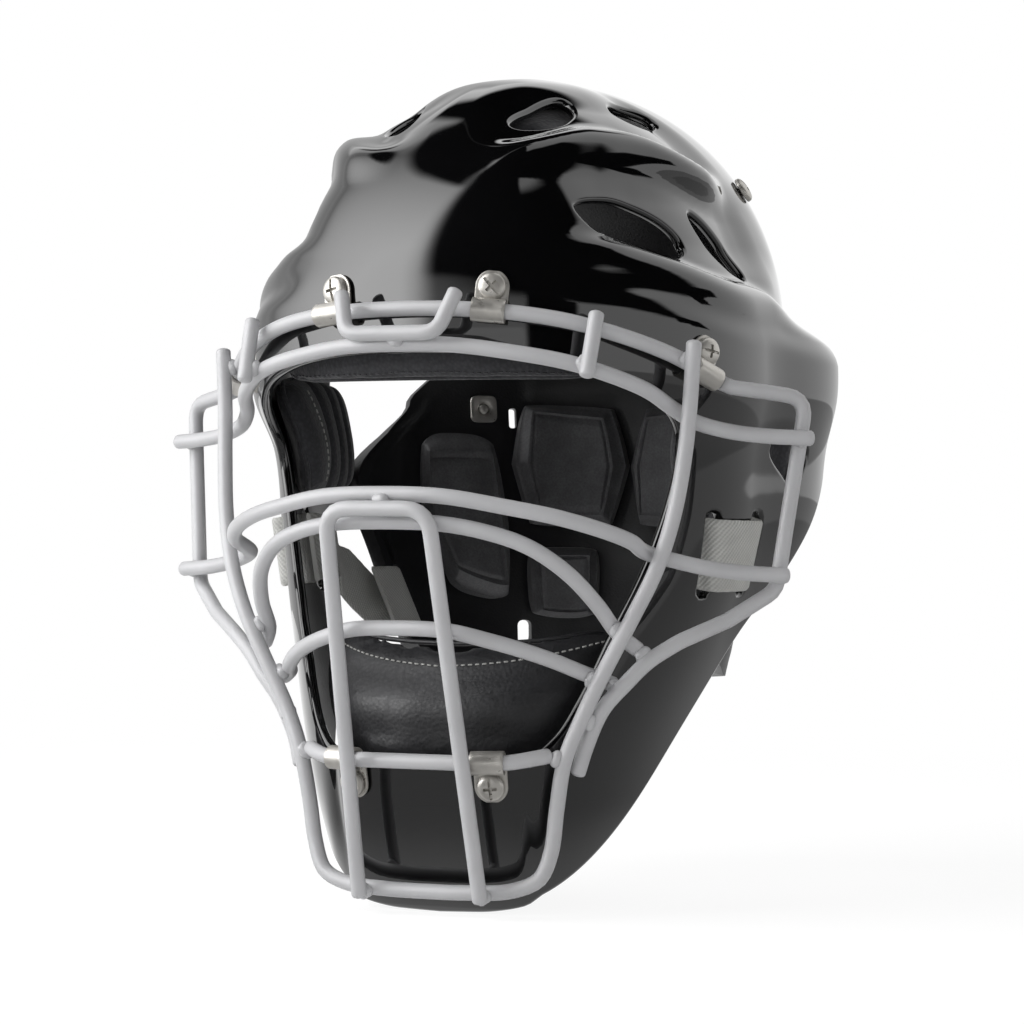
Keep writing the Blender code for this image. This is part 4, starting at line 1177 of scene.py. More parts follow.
def weld_places(paths):
    """Where two wires lie on each other: (wire with the bead, middle, direction between the wires)."""
    dense = {name: even_path(path, 1.5) for name, path in paths.items()}
    names = list(dense)
    found = []
    for i, first in enumerate(names):
        a = numpy.array([tuple(p) for p in dense[first]])
        for second in names[i + 1:]:
            b = numpy.array([tuple(p) for p in dense[second]])
            gaps = numpy.linalg.norm(a[:, None, :] - b[None, :, :], axis=2)
            while gaps.min() < WIRE + 1.6:
                j, k = numpy.unravel_index(numpy.argmin(gaps), gaps.shape)
                found.append((second, Vector((a[j] + b[k]) / 2), Vector(b[k] - a[j]).normalized()))
                near = numpy.linalg.norm(a - a[j], axis=1) < 18.0
                gaps[near, :] = 1e6
    return found


def add_bead(bm, middle, axis, radius):
    """A flattened drop of weld metal between two wires."""
    made = bmesh.ops.create_icosphere(bm, subdivisions=3, radius=1.0)
    for vert in made["verts"]:
        lump = 1.0 + 0.06 * math.sin(5.1 * vert.co.x + middle.x) + 0.05 * math.sin(6.3 * vert.co.y + middle.z)
        vert.co = Vector((vert.co.x * radius, vert.co.y * radius, vert.co.z * radius * 0.72)) * lump
    bmesh.ops.transform(bm, matrix=standing(middle, axis, axis.orthogonal()), verts=made["verts"])


class MASK_OT_cage(bpy.types.Operator):
    """Eleven wires of the cage with the weld beads that join them"""

    bl_idname = "mask.cage"
    bl_label = "Wire Cage"

    def execute(self, context):
        sizes = context.scene.mask_sizes
        coat = powder_coat(context.scene.mask_colours.cage)
        paths = cage_paths()
        welds = weld_places(paths)
        for name, path in paths.items():
            bm = bmesh.new()
            tube(bm, even_path(path, 2.4), sizes.wire / MM / 2, sides=20)
            for carrier, middle, axis in welds:
                if carrier == name:
                    add_bead(bm, middle, axis, sizes.weld / MM)
            bmesh.ops.recalc_face_normals(bm, faces=bm.faces)
            add_piece("wire_" + name, to_mesh(bm, name), "front", [coat], [name])
        return {"FINISHED"}


class ClipSite:
    """Where a clip on the wearer's left sits: the wire's point, and the axes outward and along the tab."""

    def __init__(self, path, bearing, tab_up, rise):
        target = math.radians(bearing)
        turns = [math.atan2(p.x, -p.y) for p in path]
        i = next(k for k in range(len(path) - 1) if turns[k] <= target < turns[k + 1])
        self.wire = path[i].lerp(path[i + 1], (target - turns[i]) / (turns[i + 1] - turns[i]))
        along = (path[i + 1] - path[i]).normalized()
        guess = self.wire + Vector((0, 0, tab_up * rise))
        out = shell_normal(math.atan2(guess.x, -guess.y), guess.z)
        self.out = (out - along * out.dot(along)).normalized()
        self.tab = self.out.cross(along).normalized()
        if self.tab.z * tab_up < 0:
            self.tab.negate()
        self.rise = rise
        self.axis_point = self.wire + self.tab * rise
        seat = shell_point(math.atan2(self.axis_point.x, -self.axis_point.y), self.axis_point.z)
        self.drop = (self.axis_point - seat).dot(self.out)
        self.reach = rise + SCREW_HEAD / 2 + 0.6
        self.setback = NUT_SETBACK if tab_up > 0 else CHIN_NUT_SETBACK


def clip_sites():
    paths = cage_paths(10.0, 4)
    return {
        "forehead": ClipSite(paths["top_wire"], 15.8, 1, CLIP_RISE),
        "temple": ClipSite(paths["top_wire"], 57.8, 1, CLIP_RISE),
        "chin": ClipSite(paths["chin_bar"], 15.2, -1, CHIN_CLIP_RISE),
    }


def clip_mesh(site, sign, sheet):
    """A bent clip: a strip that wraps the wire and runs into a tab with a round end behind the screw."""
    loop = WIRE / 2 + CLIP_WIRE_GAP + sheet / 2
    level = -(site.drop - sheet - CLIP_SHELL_GAP) - sheet / 2
    line = []
    for k in range(CLIP_WRAP_STEPS + 1):
        turn = math.radians(CLIP_WRAP_START - CLIP_WRAP * k / CLIP_WRAP_STEPS)
        line.append((loop * math.sin(turn), -loop * math.cos(turn)))
    for k in range(1, CLIP_TAB_STEPS + 1):
        y = CLIP_TAB_START + (site.reach - CLIP_TAB_START) * k / CLIP_TAB_STEPS
        line.append((-loop + (level + loop) * step(y, 0.0, 3.5), y))
    bm = bmesh.new()
    rows = []
    half = CLIP_WIDTH / 2
    out, tab = flipped(site.out, sign), flipped(site.tab, sign)
    side = out.cross(tab)
    origin = flipped(site.wire, sign)
    for x, y in line:
        past = max(0.0, y - site.rise) if len(rows) > CLIP_WRAP_STEPS else 0.0
        wide = math.sqrt(max(1.0, half**2 - past**2))
        rows.append([bm.verts.new(origin + out * x + tab * y + side * (wide * k / 5)) for k in range(-5, 6)])
    for low, high in zip(rows, rows[1:]):
        for k in range(10):
            bm.faces.new((low[k], low[k + 1], high[k + 1], high[k]))
    thick = ("SOLIDIFY", {"thickness": sheet * MM, "offset": 0.0})
    return smoothed(shaped(to_mesh(bm, "clip"), [thick, soft_edges(0.2, 2)]), 35)


def shared_plating(context):
    """The plating of clips, screws and nuts, made once."""
    return bpy.data.materials.get("nickel_plated_steel") or plated_steel(context.scene.mask_colours.nickel)


class MASK_OT_clips(bpy.types.Operator):
    """Six bent clips that hold the cage to the shell"""

    bl_idname = "mask.clips"
    bl_label = "Clips"

    def execute(self, context):
        sheet = context.scene.mask_sizes.sheet / MM
        plating = shared_plating(context)
        for name, site in clip_sites().items():
            for side, sign in SIDES:
                node = f"clip_{name}_{side}"
                mesh = clip_mesh(site, sign, sheet)
                add_piece("bent_" + node, mesh, "front", [plating], [node])
        return {"FINISHED"}


def head_profile():
    """Truss head: a low dome with a soft rim over its flat seat."""
    radius = SCREW_HEAD / 2
    profile = [(0.0, SCREW_HEAD_HEIGHT)]
    for k in range(1, 13):
        t = math.radians(90 * k / 12)
        profile.append((radius * math.sin(t), 0.5 + (SCREW_HEAD_HEIGHT - 0.5) * math.cos(t) ** 0.62))
    return profile + [(radius, 0.25), (radius - 0.25, 0.0), (0.0, 0.0)]


def head_mesh():
    """Truss head with a cross recess and a slot that runs on across the dome."""
    bm = bmesh.new()
    spun(bm, head_profile(), 48)
    bmesh.ops.recalc_face_normals(bm, faces=bm.faces)
    tools = []
    for wide, long, deep, turn in RECESS_CUTS:
        tool = bmesh.new()
        bmesh.ops.create_cube(tool, size=1.0)
        for vert in tool.verts:
            narrow = 0.75 if vert.co.z < 0 else 1.0
            x, y, z = vert.co
            vert.co = Vector((x * long * narrow, y * wide * narrow, (z - 0.5) * 2 * deep))
            vert.co.z += SCREW_HEAD_HEIGHT + deep
        bmesh.ops.rotate(tool, verts=tool.verts, matrix=Matrix.Rotation(math.radians(turn), 3, "Z"))
        tools.append(cutting_tool("recess", to_mesh(tool, "recess")))
    return pared(to_mesh(bm, "head"), tools)


def screw_mesh(head, length, matrix):
    """A screw: the recessed head, and a threaded shank below it."""
    bm = from_mesh(head)
    shank = SCREW_SHANK / 2
    profile = [(0.0, 0.05), (shank, 0.05)]
    for k in range(int((length - 1.0) / THREAD_PITCH)):
        top = -THREAD_PITCH * k
        profile += [(shank, top - 0.1), (shank - 0.35, top - 0.45)]
    profile += [(shank, -length + 0.4), (shank - 0.5, -length), (0.0, -length)]
    rod = bmesh.new()
    spun(rod, profile, 24)
    part = bpy.data.meshes.new("rod")
    rod.to_mesh(part)
    rod.free()
    bm.from_mesh(part)
    bmesh.ops.recalc_face_normals(bm, faces=bm.faces)
    bmesh.ops.transform(bm, matrix=matrix, verts=bm.verts)
    return to_mesh(bm, "screw")


def nut_mesh(barrel, matrix, squared=False):
    """A flanged barrel nut with soft edges and an open bore; a liner's nut has a squared flange."""
    bore, outer, flange = NUT_BORE / 2, NUT_BARREL / 2, NUT_FLANGE / 2
    low, soft = -NUT_FLANGE_THICK, 0.3
    top = max(barrel, 0.2)
    profile = [
        (bore, top), (outer - soft, top), (outer, max(top - soft, 0.1)), (outer, 0.0), (flange - soft, 0.0),
        (flange, -soft), (flange, low + soft), (flange - soft, low), (bore + 1.2, low),
        (bore + 0.8, low + 0.25), (bore, low + 0.5), (bore, top),
    ]
    bm = bmesh.new()
    spun(bm, profile, 48)
    for vert in bm.verts:
        reach = math.hypot(vert.co.x, vert.co.y)
        if squared and reach > outer + 1.5:
            corner = (abs(vert.co.x / reach) ** 5 + abs(vert.co.y / reach) ** 5) ** -0.2
            vert.co.xy *= 0.83 * corner
    bmesh.ops.recalc_face_normals(bm, faces=bm.faces)
    bmesh.ops.transform(bm, matrix=matrix, verts=bm.verts)
    return to_mesh(bm, "nut")


def plate_point(theta, z, depth):
    """Point inside the back plate's outer face by depth; the plate tucks in further at its lower wings."""
    inset = PLATE_WING_INSET + (PLATE_INSET - PLATE_WING_INSET) * step(z, -40, 10)
    return shell_point(theta, z, -inset - depth)


def wrapped(degrees):
    """Bearing in radians between -180 and 180 degrees."""
    return math.remainder(math.radians(degrees), 2 * math.pi)


def pivot_line(sign):
    """Centre of the back plate's pivot hole on one side, and the direction of its screw out of the shell."""
    theta = bearing_at(PIVOT_Z, 1, PIVOT_Y)
    place = plate_point(theta, PIVOT_Z, PLATE_THICK / 2)
    return flipped(place, sign), flipped(shell_normal(theta, PIVOT_Z), sign)


def fastener_lines(sheet):
    """Every screw and nut: (name, body, seat of the head, seat of the nut, axis, height of its barrel)."""
    lines = []
    for side, sign in SIDES:
        for name, site in clip_sites().items():
            place, out = flipped(site.axis_point, sign), flipped(site.out, sign)
            head = place + out * (SEAT_GAP - (site.drop - sheet - CLIP_SHELL_GAP))
            nut = place + out * (-site.drop - SHELL_WALL - site.setback)
            lines.append((f"{name}_{side}", "front", head, nut, out, SHELL_WALL))
        place, out = pivot_line(sign)
        head = place + out * (PLATE_INSET + PLATE_THICK / 2 + SEAT_GAP)
        nut = place - out * (PLATE_THICK / 2 + PIVOT_NUT_GAP)
        lines.append((f"pivot_{side}", "front", head, nut, out, -0.4))
        theta = wrapped(180.0 - LINER_NUT_BEARING * sign)
        out = shell_normal(theta, LINER_NUT_Z)
        place = plate_point(theta, LINER_NUT_Z, 0.0)
        head, nut = place + out * (2 * SEAT_GAP), place - out * (PLATE_THICK + NUT_SETBACK)
        lines.append((f"liner_{side}", "back", head, nut, out, PLATE_THICK))
    return lines


class MASK_OT_fasteners(bpy.types.Operator):
    """Truss-head screws and flanged nuts of the clips, the pivots and the liner"""

    bl_idname = "mask.fasteners"
    bl_label = "Screws and Nuts"

    def execute(self, context):
        plating = shared_plating(context)
        head_form = head_mesh()
        for name, body, head, nut, axis, barrel in fastener_lines(context.scene.mask_sizes.sheet / MM):
            length = (head - nut).dot(axis) + SCREW_PAST_NUT
            turn = Matrix.Rotation(math.radians(HEAD_TURNS.get(name, 30)), 4, "Z")
            mesh = screw_mesh(head_form, length, standing(head, axis) @ turn)
            add_piece("fixing_screw_" + name, mesh, body, [plating], ["screw_" + name])
            mesh = nut_mesh(barrel, standing(nut, axis), name.startswith("liner"))
            add_piece("fixing_nut_" + name, mesh, body, [plating], ["nut_" + name])
        return {"FINISHED"}


def plate_edge(z):
    """Bearing of the back plate's side edge at height z, in degrees from the front."""
    if z > 60:
        return 118.0 + 20.0 * step(PIVOT_Z - 10 - z, 0, 12) + 12.0 * step(z, 112, 124)
    wing = 110.0 + 22.0 * step(z, -8, 24) + 6.0 * step(z, 24, 40)
    return wing + 24.0 * (1.0 - step(z, PLATE_LOW - 2, PLATE_LOW + 9))


def between(low, high, b):
    """Value at b, which runs from -1 at low to 1 at high."""
    return (low + high) / 2 + (high - low) / 2 * b


def on_plate(a, b, depth):
    """Placing function for the whole back plate: a runs across its back, b up it."""
    z = between(PLATE_LOW, PLATE_HIGH, b)
    return plate_point(wrapped(180.0 + (180.0 - plate_edge(z)) * a), z, depth)


def flank_axes(theta, z):
    """Axes rearward, outward and down along the shell at a bearing and a height on its left."""
    out = shell_normal(theta, z)
    down = (Vector((0, 0, -1)) + out * out.z).normalized()
    return out.cross(down).normalized(), out, down


def plate_frame(bearing, z):
    """Middle of the back plate's wall on its left half, and the axes rearward, outward and down there."""
    theta = math.radians(bearing)
    return plate_point(theta, z, PLATE_THICK / 2), *flank_axes(theta, z)


def plate_slot(bearing, z, width, length, sign):
    """Cutting tool for a slot with round corners through the back plate."""
    middle, along, out, _ = plate_frame(bearing, z)
    bm = bmesh.new()
    bmesh.ops.create_cube(bm, size=1.0)
    bmesh.ops.scale(bm, vec=(width, 5 * PLATE_THICK, length), verts=bm.verts)
    uprights = [edge for edge in bm.edges if abs((edge.verts[0].co - edge.verts[1].co).y) > PLATE_THICK]
    bmesh.ops.bevel(bm, geom=uprights, offset=0.35 * width, segments=4, affect="EDGES", profile=0.5)
    x_axis, y_axis = flipped(along, sign), flipped(out, sign)
    turned = Matrix((x_axis, y_axis, x_axis.cross(y_axis))).transposed().to_4x4()
    bmesh.ops.transform(bm, matrix=Matrix.Translation(flipped(middle, sign)) @ turned, verts=bm.verts)
    return cutting_tool("slot", to_mesh(bm, "slot"))


def drill(place, axis, radius, depth):
    bm = bmesh.new()
    bmesh.ops.create_cone(bm, cap_ends=True, segments=28, radius1=radius, radius2=radius, depth=depth)
    bmesh.ops.transform(bm, matrix=standing(place, axis), verts=bm.verts)
    return cutting_tool("drill", to_mesh(bm, "drill"))


def slab(columns, rows, place, thickness, edge=1.0):
    """A curved slab in a bmesh: place(a, b, depth) puts its points, thickness(a, b) is its depth."""
    bm = bmesh.new()
    bmesh.ops.create_grid(bm, x_segments=columns, y_segments=rows, size=1.0)
    lifted = bmesh.ops.extrude_face_region(bm, geom=bm.faces[:])["geom"]
    bmesh.ops.translate(bm, vec=(0, 0, 1), verts=[g for g in lifted if isinstance(g, bmesh.types.BMVert)])
    for vert in bm.verts:
        a, b = vert.co.x, vert.co.y
        depth = thickness(a, b) if vert.co.z > 0.5 else 0.0
        if max(abs(a), abs(b)) > 0.999:
            depth *= edge
        vert.co = place(a, b, depth)
    bmesh.ops.recalc_face_normals(bm, faces=bm.faces)
    return bm


class MASK_OT_back_plate(bpy.types.Operator):
    """Hinged back plate with its slots, holes and soft edges"""

    bl_idname = "mask.back_plate"
    bl_label = "Back Plate"

    def thickness(self, a, b):
        """Wall of the plate, with a raised rim and two raised fields above the liner's panels."""
        z = between(PLATE_LOW, PLATE_HIGH, b)
        from_back = (180.0 - plate_edge(z)) * abs(a)
        field = band(z, *PLATE_FIELD_Z) * band(from_back, *PLATE_FIELD_FROM_BACK)
        return PLATE_THICK + PLATE_RAISED * max(field, step(max(abs(a), abs(b)), 0.9, 0.94))

    def place(self, a, b, depth):
        """Placing function with a low moulded step round the plate's outer face."""
        border = step(max(abs(a), abs(b)), 0.86, 0.9)
        return on_plate(a, b, depth if depth > 0.0 else 0.5 - 1.1 * border)

    def execute(self, context):
        bm = slab(75, 70, self.place, self.thickness)
        tools = []
        for _, sign in SIDES:
            place, axis = pivot_line(sign)
            tools.append(drill(place, axis, SCREW_SHANK / 2 + 1.0, 12.0))
            theta = wrapped(180.0 - LINER_NUT_BEARING * sign)
            place, axis = plate_point(theta, LINER_NUT_Z, 0.0), shell_normal(theta, LINER_NUT_Z)
            tools.append(drill(place, axis, HOLE / 2, 16.0))
            tools.append(plate_slot(WING_SLOT_BEARING, WING_SLOT_Z, SLOT_WIDTH, SLOT_HEIGHT, sign))
            for off_back, z, width, length in PLATE_VENTS:
                tools.append(plate_slot(180.0 - off_back, z, width, length, sign))
        mesh = smoothed(shaped(pared(to_mesh(bm, "plate"), tools), [soft_edges(0.9, 3)]), 45)
        look = moulded_abs("moulded_abs_plate", context.scene.mask_colours.plate, 0.36)
        add_piece("plate_rear", mesh, "back", [look], ["back_plate"])
        return {"FINISHED"}


def pillow(thick, crown=0.35):
    """Depth of a stuffed pad: full in the middle and drawn in towards its seams."""
    def depth(a, b):
        return thick * (1.0 - crown * (1.0 - (1.0 - a**4) * (1.0 - b**4)))
    return depth


def panel(thick):
    """Depth of a pressed liner panel: level, with a welded groove and a bevelled border."""
    def depth(a, b):
        edge = max(abs(a), abs(b))
        groove = 0.9 * band(edge, 0.7, 0.75, 0.76, 0.81)
        return thick * (1.0 - 0.5 * step(edge, 0.8, 0.99)) - groove
    return depth


def on_shell(theta_mid, theta_half, z_low, z_high, inset, round_off=0.0, ends_up=0.0, belly=0.0, cup=0.0):
    """Placing function for a pad inside the shell: round_off draws its corners in, ends_up lifts the ends of
    its top edge over the middle, belly swells the upper half of its front and cup raises its inner rim."""
    def place(a, b, depth):
        pull = 1.0 - round_off * (abs(a) ** 3) * (abs(b) ** 3)
        theta = math.radians(theta_mid + theta_half * a * pull)
        z = between(z_low, z_high, b * pull)
        z += ends_up * (abs(a) ** 1.2 - 0.12) * max(0.0, b)
        z += cup * (1.0 - a**4) * step(b, 0.2, 1.0) * step(depth, 2.0, 7.0)
        swell = belly * (1.0 - a * a) * band(b, -0.2, 0.5, 0.6, 1.0) * max(0.0, 1.0 - depth / 6.0)
        return shell_point(theta, z, swell - inset - depth)
    return place


def on_liner(from_back, half, z_low, z_high, sign, round_off, widen):
    """Placing function for a panel inside the back plate; widen draws its sides out at mid height."""
    def place(a, b, depth):
        pull = 1.0 - round_off * (abs(a) ** 3) * (abs(b) ** 3)
        wide = 1.0 + widen * (1.0 - abs(b))
        theta = wrapped(180.0 - sign * (from_back + half * a * pull * wide))
        z = between(z_low, z_high, b * pull)
        return plate_point(theta, z, PLATE_THICK + LINER_PAD_GAP + depth)
    return place


def on_crown(a, b, depth):
    """Placing function for the pad under the crown."""
    x, y = 46.0 * a * (1 - 0.18 * b * b), 55.0 * b * (1 - 0.18 * a * a) - 6.0
    theta = math.atan2(x, -y)

    def wider(z):
        return shell_radius(theta, z) > math.hypot(x, y)
    z = halved(60.0, SHELL_TOP - 0.5, wider)
    return Vector((x, y, z)) - shell_normal(theta, z) * (SHELL_WALL + CROWN_PAD_GAP + depth)


def pad_forms():
    """Every pad: name, body, cover, placing function, columns, rows and depth."""
    chin = on_shell(0, 60, -130, -66, SHELL_WALL + CHIN_PAD_GAP, 0.15, ends_up=12.0, belly=7.0, cup=9.0)
    brow = on_shell(0, 46, 26, 50, SHELL_WALL + BROW_PAD_GAP, 0.2)
    forms = [
        ("brow_pad", "front", "cover", brow, 56, 12, pillow(12.0)),
        ("chin_pad", "front", "vinyl", chin, 48, 20, pillow(12.0)),
        ("crown_pad", "front", "cover", on_crown, 24, 28, pillow(9.0)),
    ]
    for side, sign in SIDES:
        place = on_shell(SIDE_PAD_BEARING * sign, SIDE_PAD_HALF, -13, 34, SHELL_WALL + SIDE_PAD_GAP, 0.2)
        forms.append((f"side_pad_{side}", "front", "cover", place, 24, 16, pillow(14.0)))
        for name, spec, columns, rows, thick in LINER_PANELS:
            place = on_liner(*spec[:4], sign, *spec[4:])
            forms.append((f"{name}_{side}", "back", "liner", place, columns, rows, panel(thick)))
    return forms


def blown_up(items, limit, frames=20):
    """Blow the pads' covers out with cloth pressure for a moment, no point moved further than the limit."""
    scene = bpy.context.scene
    starts = []
    for item in items:
        mesh = item.data
        starts.append(numpy.array([v.co for v in mesh.vertices]))
        cloth = item.modifiers.new("cover", "CLOTH")
        cloth.settings.quality = 4
        cloth.settings.mass = 0.2
        cloth.settings.tension_stiffness = 12
        cloth.settings.compression_stiffness = 12
        cloth.settings.use_pressure = True
        cloth.settings.uniform_pressure_force = 4.0
        cloth.settings.effector_weights.gravity = 0.0
        cloth.collision_settings.use_collision = False
        cloth.point_cache.frame_start = 1
        cloth.point_cache.frame_end = frames
    for number in range(1, frames + 1):
        scene.frame_set(number)
    graph = bpy.context.evaluated_depsgraph_get()
    for item, start in zip(items, starts):
        swollen = item.evaluated_get(graph).to_mesh()
        moved = numpy.array([v.co for v in swollen.vertices]) - start
        far = numpy.linalg.norm(moved, axis=1)
        moved *= (numpy.minimum(1.0, limit / numpy.maximum(far, 1e-9)))[:, None]
        item.evaluated_get(graph).to_mesh_clear()
        item.modifiers.clear()
        item.data.vertices.foreach_set("co", (start + moved).ravel())
        item.data.update()
    scene.frame_set(1)


def seam_ring(place, depth, inset, face):
    """Closed path round a pad at a part of its depth, inset from its edge."""
    reach = 1.0 - inset
    corners = []
    for k in range(96):
        t = 2 * math.pi * k / 96
        c, s = math.cos(t), math.sin(t)
        a = math.copysign(abs(c) ** 0.35, c)
        b = math.copysign(abs(s) ** 0.35, s)
        size = max(abs(a), abs(b))
        a, b = a / size, b / size
        corners.append(place(a * reach, b * reach, depth(a * reach, b * reach) * face))
    return corners


def seam_lines(name, place, depth):
    """Sewn lines that show on a pad: runs of points near its surface."""
    along = numpy.linspace(-1.0, 1.0, 81)
    if name == "chin_pad":
        return [[place(0.92 * t, 1.0, 0.8) for t in along]]
    if name == "brow_pad":
        return [[place(0.94 * t, -0.72, 0.0) for t in along]]
    if name.startswith("side_pad"):
        front = 1.0 if name.endswith("right") else -1.0
        return [[place(0.6 * front, 0.75 * t, depth(0.6, 0.75 * t)) for t in along]]
    return []


def pleated(bm, name):
    """Press the sewn pleats of a side pad into its inner face."""
    sign = 1.0 if name.endswith("left") else -1.0
    for vert in bm.verts:
        theta = math.atan2(vert.co.x, -vert.co.y)
        across = (math.degrees(theta) * sign - SIDE_PAD_BEARING) / SIDE_PAD_HALF
        press = sum(2.4 * math.exp(-((across - middle) / 0.07) ** 2) for middle in (-0.25, 0.2, 0.62))
        vert.co += Vector((math.sin(theta), -math.cos(theta), 0.0)) * press


def laid_on(tree, path, lift):
    """A path moved to the nearest places of a surface, and off it by lift."""
    nearest = [tree.find_nearest(point) for point in path]
    return [spot + normal * lift for spot, normal, *_ in nearest]


def add_stitches(bm, path, size):
    """A run of short stitches along a path; returns the number of faces before them."""
    path = even_path(path, size / 3)
    first = len(bm.faces)
    for i in range(0, len(path) - 3, 4):
        tube(bm, path[i:i + 3], 0.32, 6)
    bm.faces.ensure_lookup_table()
    return first


def stuffed_form(name, place, columns, rows, depth):
    """A stuffed pad before its cover is blown out: a slab drawn in a little and meshed evenly."""
    rest = 2.8 if name == "crown_pad" else 0.7
    edge, voxel = (0.9, 2.0) if name == "chin_pad" else (0.5, 3.0)

    def shrunk(a, b, deep):
        return place(a * 0.975, b * 0.975, rest + deep * 0.88)
    return shaped(to_mesh(slab(columns, rows, shrunk, depth, edge), name, smooth_angle=180), [
        ("REMESH", {"mode": "VOXEL", "voxel_size": voxel * MM, "adaptivity": 0.0}),
        ("SMOOTH", {"factor": 0.5, "iterations": 4}),
    ])


def sewn_cover(form, name, place, depth, stitch):
    """The finished cover of a stuffed pad, with its pleats, piped seam and stitches."""
    bm = from_mesh(shaped(form, [("SUBSURF", {"levels": 1, "render_levels": 1})]))
    if name.startswith("side_pad"):
        pleated(bm, name)
    tree = BVHTree.FromBMesh(bm)
    ring = laid_on(tree, seam_ring(place, depth, 0.02, 0.9 if name == "chin_pad" else 0.45), 0.2)
    for _ in range(3):
        before, after = ring[-1:] + ring[:-1], ring[1:] + ring[:1]
        ring = [(a + b * 2 + c) / 4 for a, b, c in zip(before, ring, after)]
    tube(bm, ring, PIPING_RADIUS, 8, closed=True)
    bm.faces.ensure_lookup_table()
    for line in seam_lines(name, place, depth):
        first = add_stitches(bm, laid_on(tree, line, 0.15), stitch)
        for face in bm.faces[first:]:
            face.material_index = 0 if name == "brow_pad" else 1
    bmesh.ops.recalc_face_normals(bm, faces=bm.faces)
    return to_mesh(bm, name, smooth_angle=180)


class MASK_OT_pads(bpy.types.Operator):
    """Eleven pads with blown-up covers, piped seams and stitching"""

    bl_idname = "mask.pads"
    bl_label = "Pads"

    def execute(self, context):
        sizes, colours = context.scene.mask_sizes, context.scene.mask_colours
        looks = {
            "cover": knitted_cover(colours.cover), "vinyl": grained_vinyl(colours.vinyl),
            "liner": bonded_facing(colours.liner),
        }
        thread = sewing_thread(colours.thread)
        made = []
        for name, body, cover, place, columns, rows, depth in pad_forms():
            if cover == "liner":
                mesh = to_mesh(slab(columns, rows, place, depth), name, smooth_angle=38)
                piece = add_piece("cushion_" + name, mesh, body, [looks[cover]], [name])
                continue
            form = stuffed_form(name, place, columns, rows, depth)
            item = link(bpy.data.objects.new("cushion_" + name, form))
            made.append((item, name, body, cover, place, depth))
        blown_up([item for item, *_ in made], sizes.swell)
        for item, name, body, cover, place, depth in made:
            form = item.data
            bpy.data.objects.remove(item, do_unlink=True)
            mesh = sewn_cover(form, name, place, depth, sizes.stitch / MM)
            piece = add_piece("cushion_" + name, mesh, body, [looks[cover], thread], [name])
        return {"FINISHED"}


def shell_frame(y, z):
    """Point of the shell's left flank at y and z, and the axes rearward, outward and down there."""
    theta = bearing_at(z, 1, y)
    return shell_point(theta, z), *flank_axes(theta, z)


def strap_path():
    """Centre line of the left strap with its width directions: over the cheek bar, round the wing's bar."""
    through = ((-11.0, -11.0), (-5.0, -8.8), (-1.4, -5.8), (0.0, -2.0), (0.8, 1.4), (3.8, 2.8))  # slot to bar
    place, back, out, down = shell_frame(FRONT_SLOT_Y, STRAP_Z)
    path = [(place + back * s + out * n, down) for s, n in through]
    place, back, out, down = shell_frame((FRONT_SLOT_Y + REAR_SLOT_Y) / 2, STRAP_Z)
    path.append((place + out * 3.0, down))
    place, back, out, down = shell_frame(REAR_SLOT_Y, STRAP_Z)
    path += [(place - back * s + out * n, down) for s, n in reversed(through[2:])]
    wing_middle, wing_back, wing_out, wing_down = plate_frame(WING_SLOT_BEARING, WING_SLOT_Z)
    lean = (down + wing_down).normalized()
    for y, z in STRAP_UNDER_EDGE:
        path.append((shell_point(bearing_at(z, 1, y), z, -SHELL_WALL - STRAP_INSIDE), lean))
    round_bar = (
        (-13.0, 3.4), (-6.0, 3.2), (-2.6, 3.0), (-0.3, 1.7), (0.3, -0.6), (-0.8, -2.9),
        (-4.0, -3.8), (-12.0, -4.2), (-20.0, -4.4),
    )
    path += [(wing_middle + wing_back * s + wing_out * n, wing_down) for s, n in round_bar]
    return path


def strap_mesh(sign, thick):
    """A flat woven strap with rounded selvedges, bent along its path, with its weave laid out in metres."""
    centres, widths = zip(*strap_path())
    steps = stations(centres, 1.2)
    line = [curve_at(centres, run, part) for run, part in steps]
    wide = [widths[run].lerp(widths[run + 1], part) for run, part in steps]
    half, deep = STRAP_WIDTH / 2, thick / 2
    columns = 26
    ring = [(half * (2 * k / columns - 1), deep) for k in range(columns + 1)]
    ring = [(x, deep * (1.0 - 0.75 * step(abs(x), half - 1.2, half))) for x, _ in ring]
    ring += [(x, -y) for x, y in reversed(ring)]
    bm = bmesh.new()
    weave = bm.loops.layers.uv.new("weave")
    rows, runs = [], [0.0]
    last = len(line) - 1
    for i, centre in enumerate(line):
        run = (line[min(i + 1, last)] - line[max(i - 1, 0)]).normalized()
        across = (wide[i] - run * run.dot(wide[i])).normalized()
        up = run.cross(across)
        narrow = 1.0 - 0.004 * math.sin(i * 1.3)
        ripple = 0.06 * math.sin(i * 2.1)
        spots = [centre + across * x * narrow + up * (y + ripple * (y > 0)) for x, y in ring]
        rows.append([bm.verts.new(flipped(spot, sign)) for spot in spots])
        if i:
            runs.append(runs[-1] + (line[i] - line[i - 1]).length)
    count = len(ring)
    girth = numpy.cumsum([0.0] + [math.dist(ring[k], ring[(k + 1) % count]) for k in range(count)])
    for i in range(last):
        for k in range(count):
            n = (k + 1) % count
            face = bm.faces.new((rows[i][k], rows[i][n], rows[i + 1][n], rows[i + 1][k]))
            for loop, (m, j) in zip(face.loops, ((k, i), (k + 1, i), (k + 1, i + 1), (k, i + 1))):
                loop[weave].uv = (girth[m] * MM, runs[j] * MM)
    for row in (rows[0], rows[-1]):
        bm.faces.new(row)
    bmesh.ops.recalc_face_normals(bm, faces=bm.faces)
    return to_mesh(bm, "strap", smooth_angle=60)


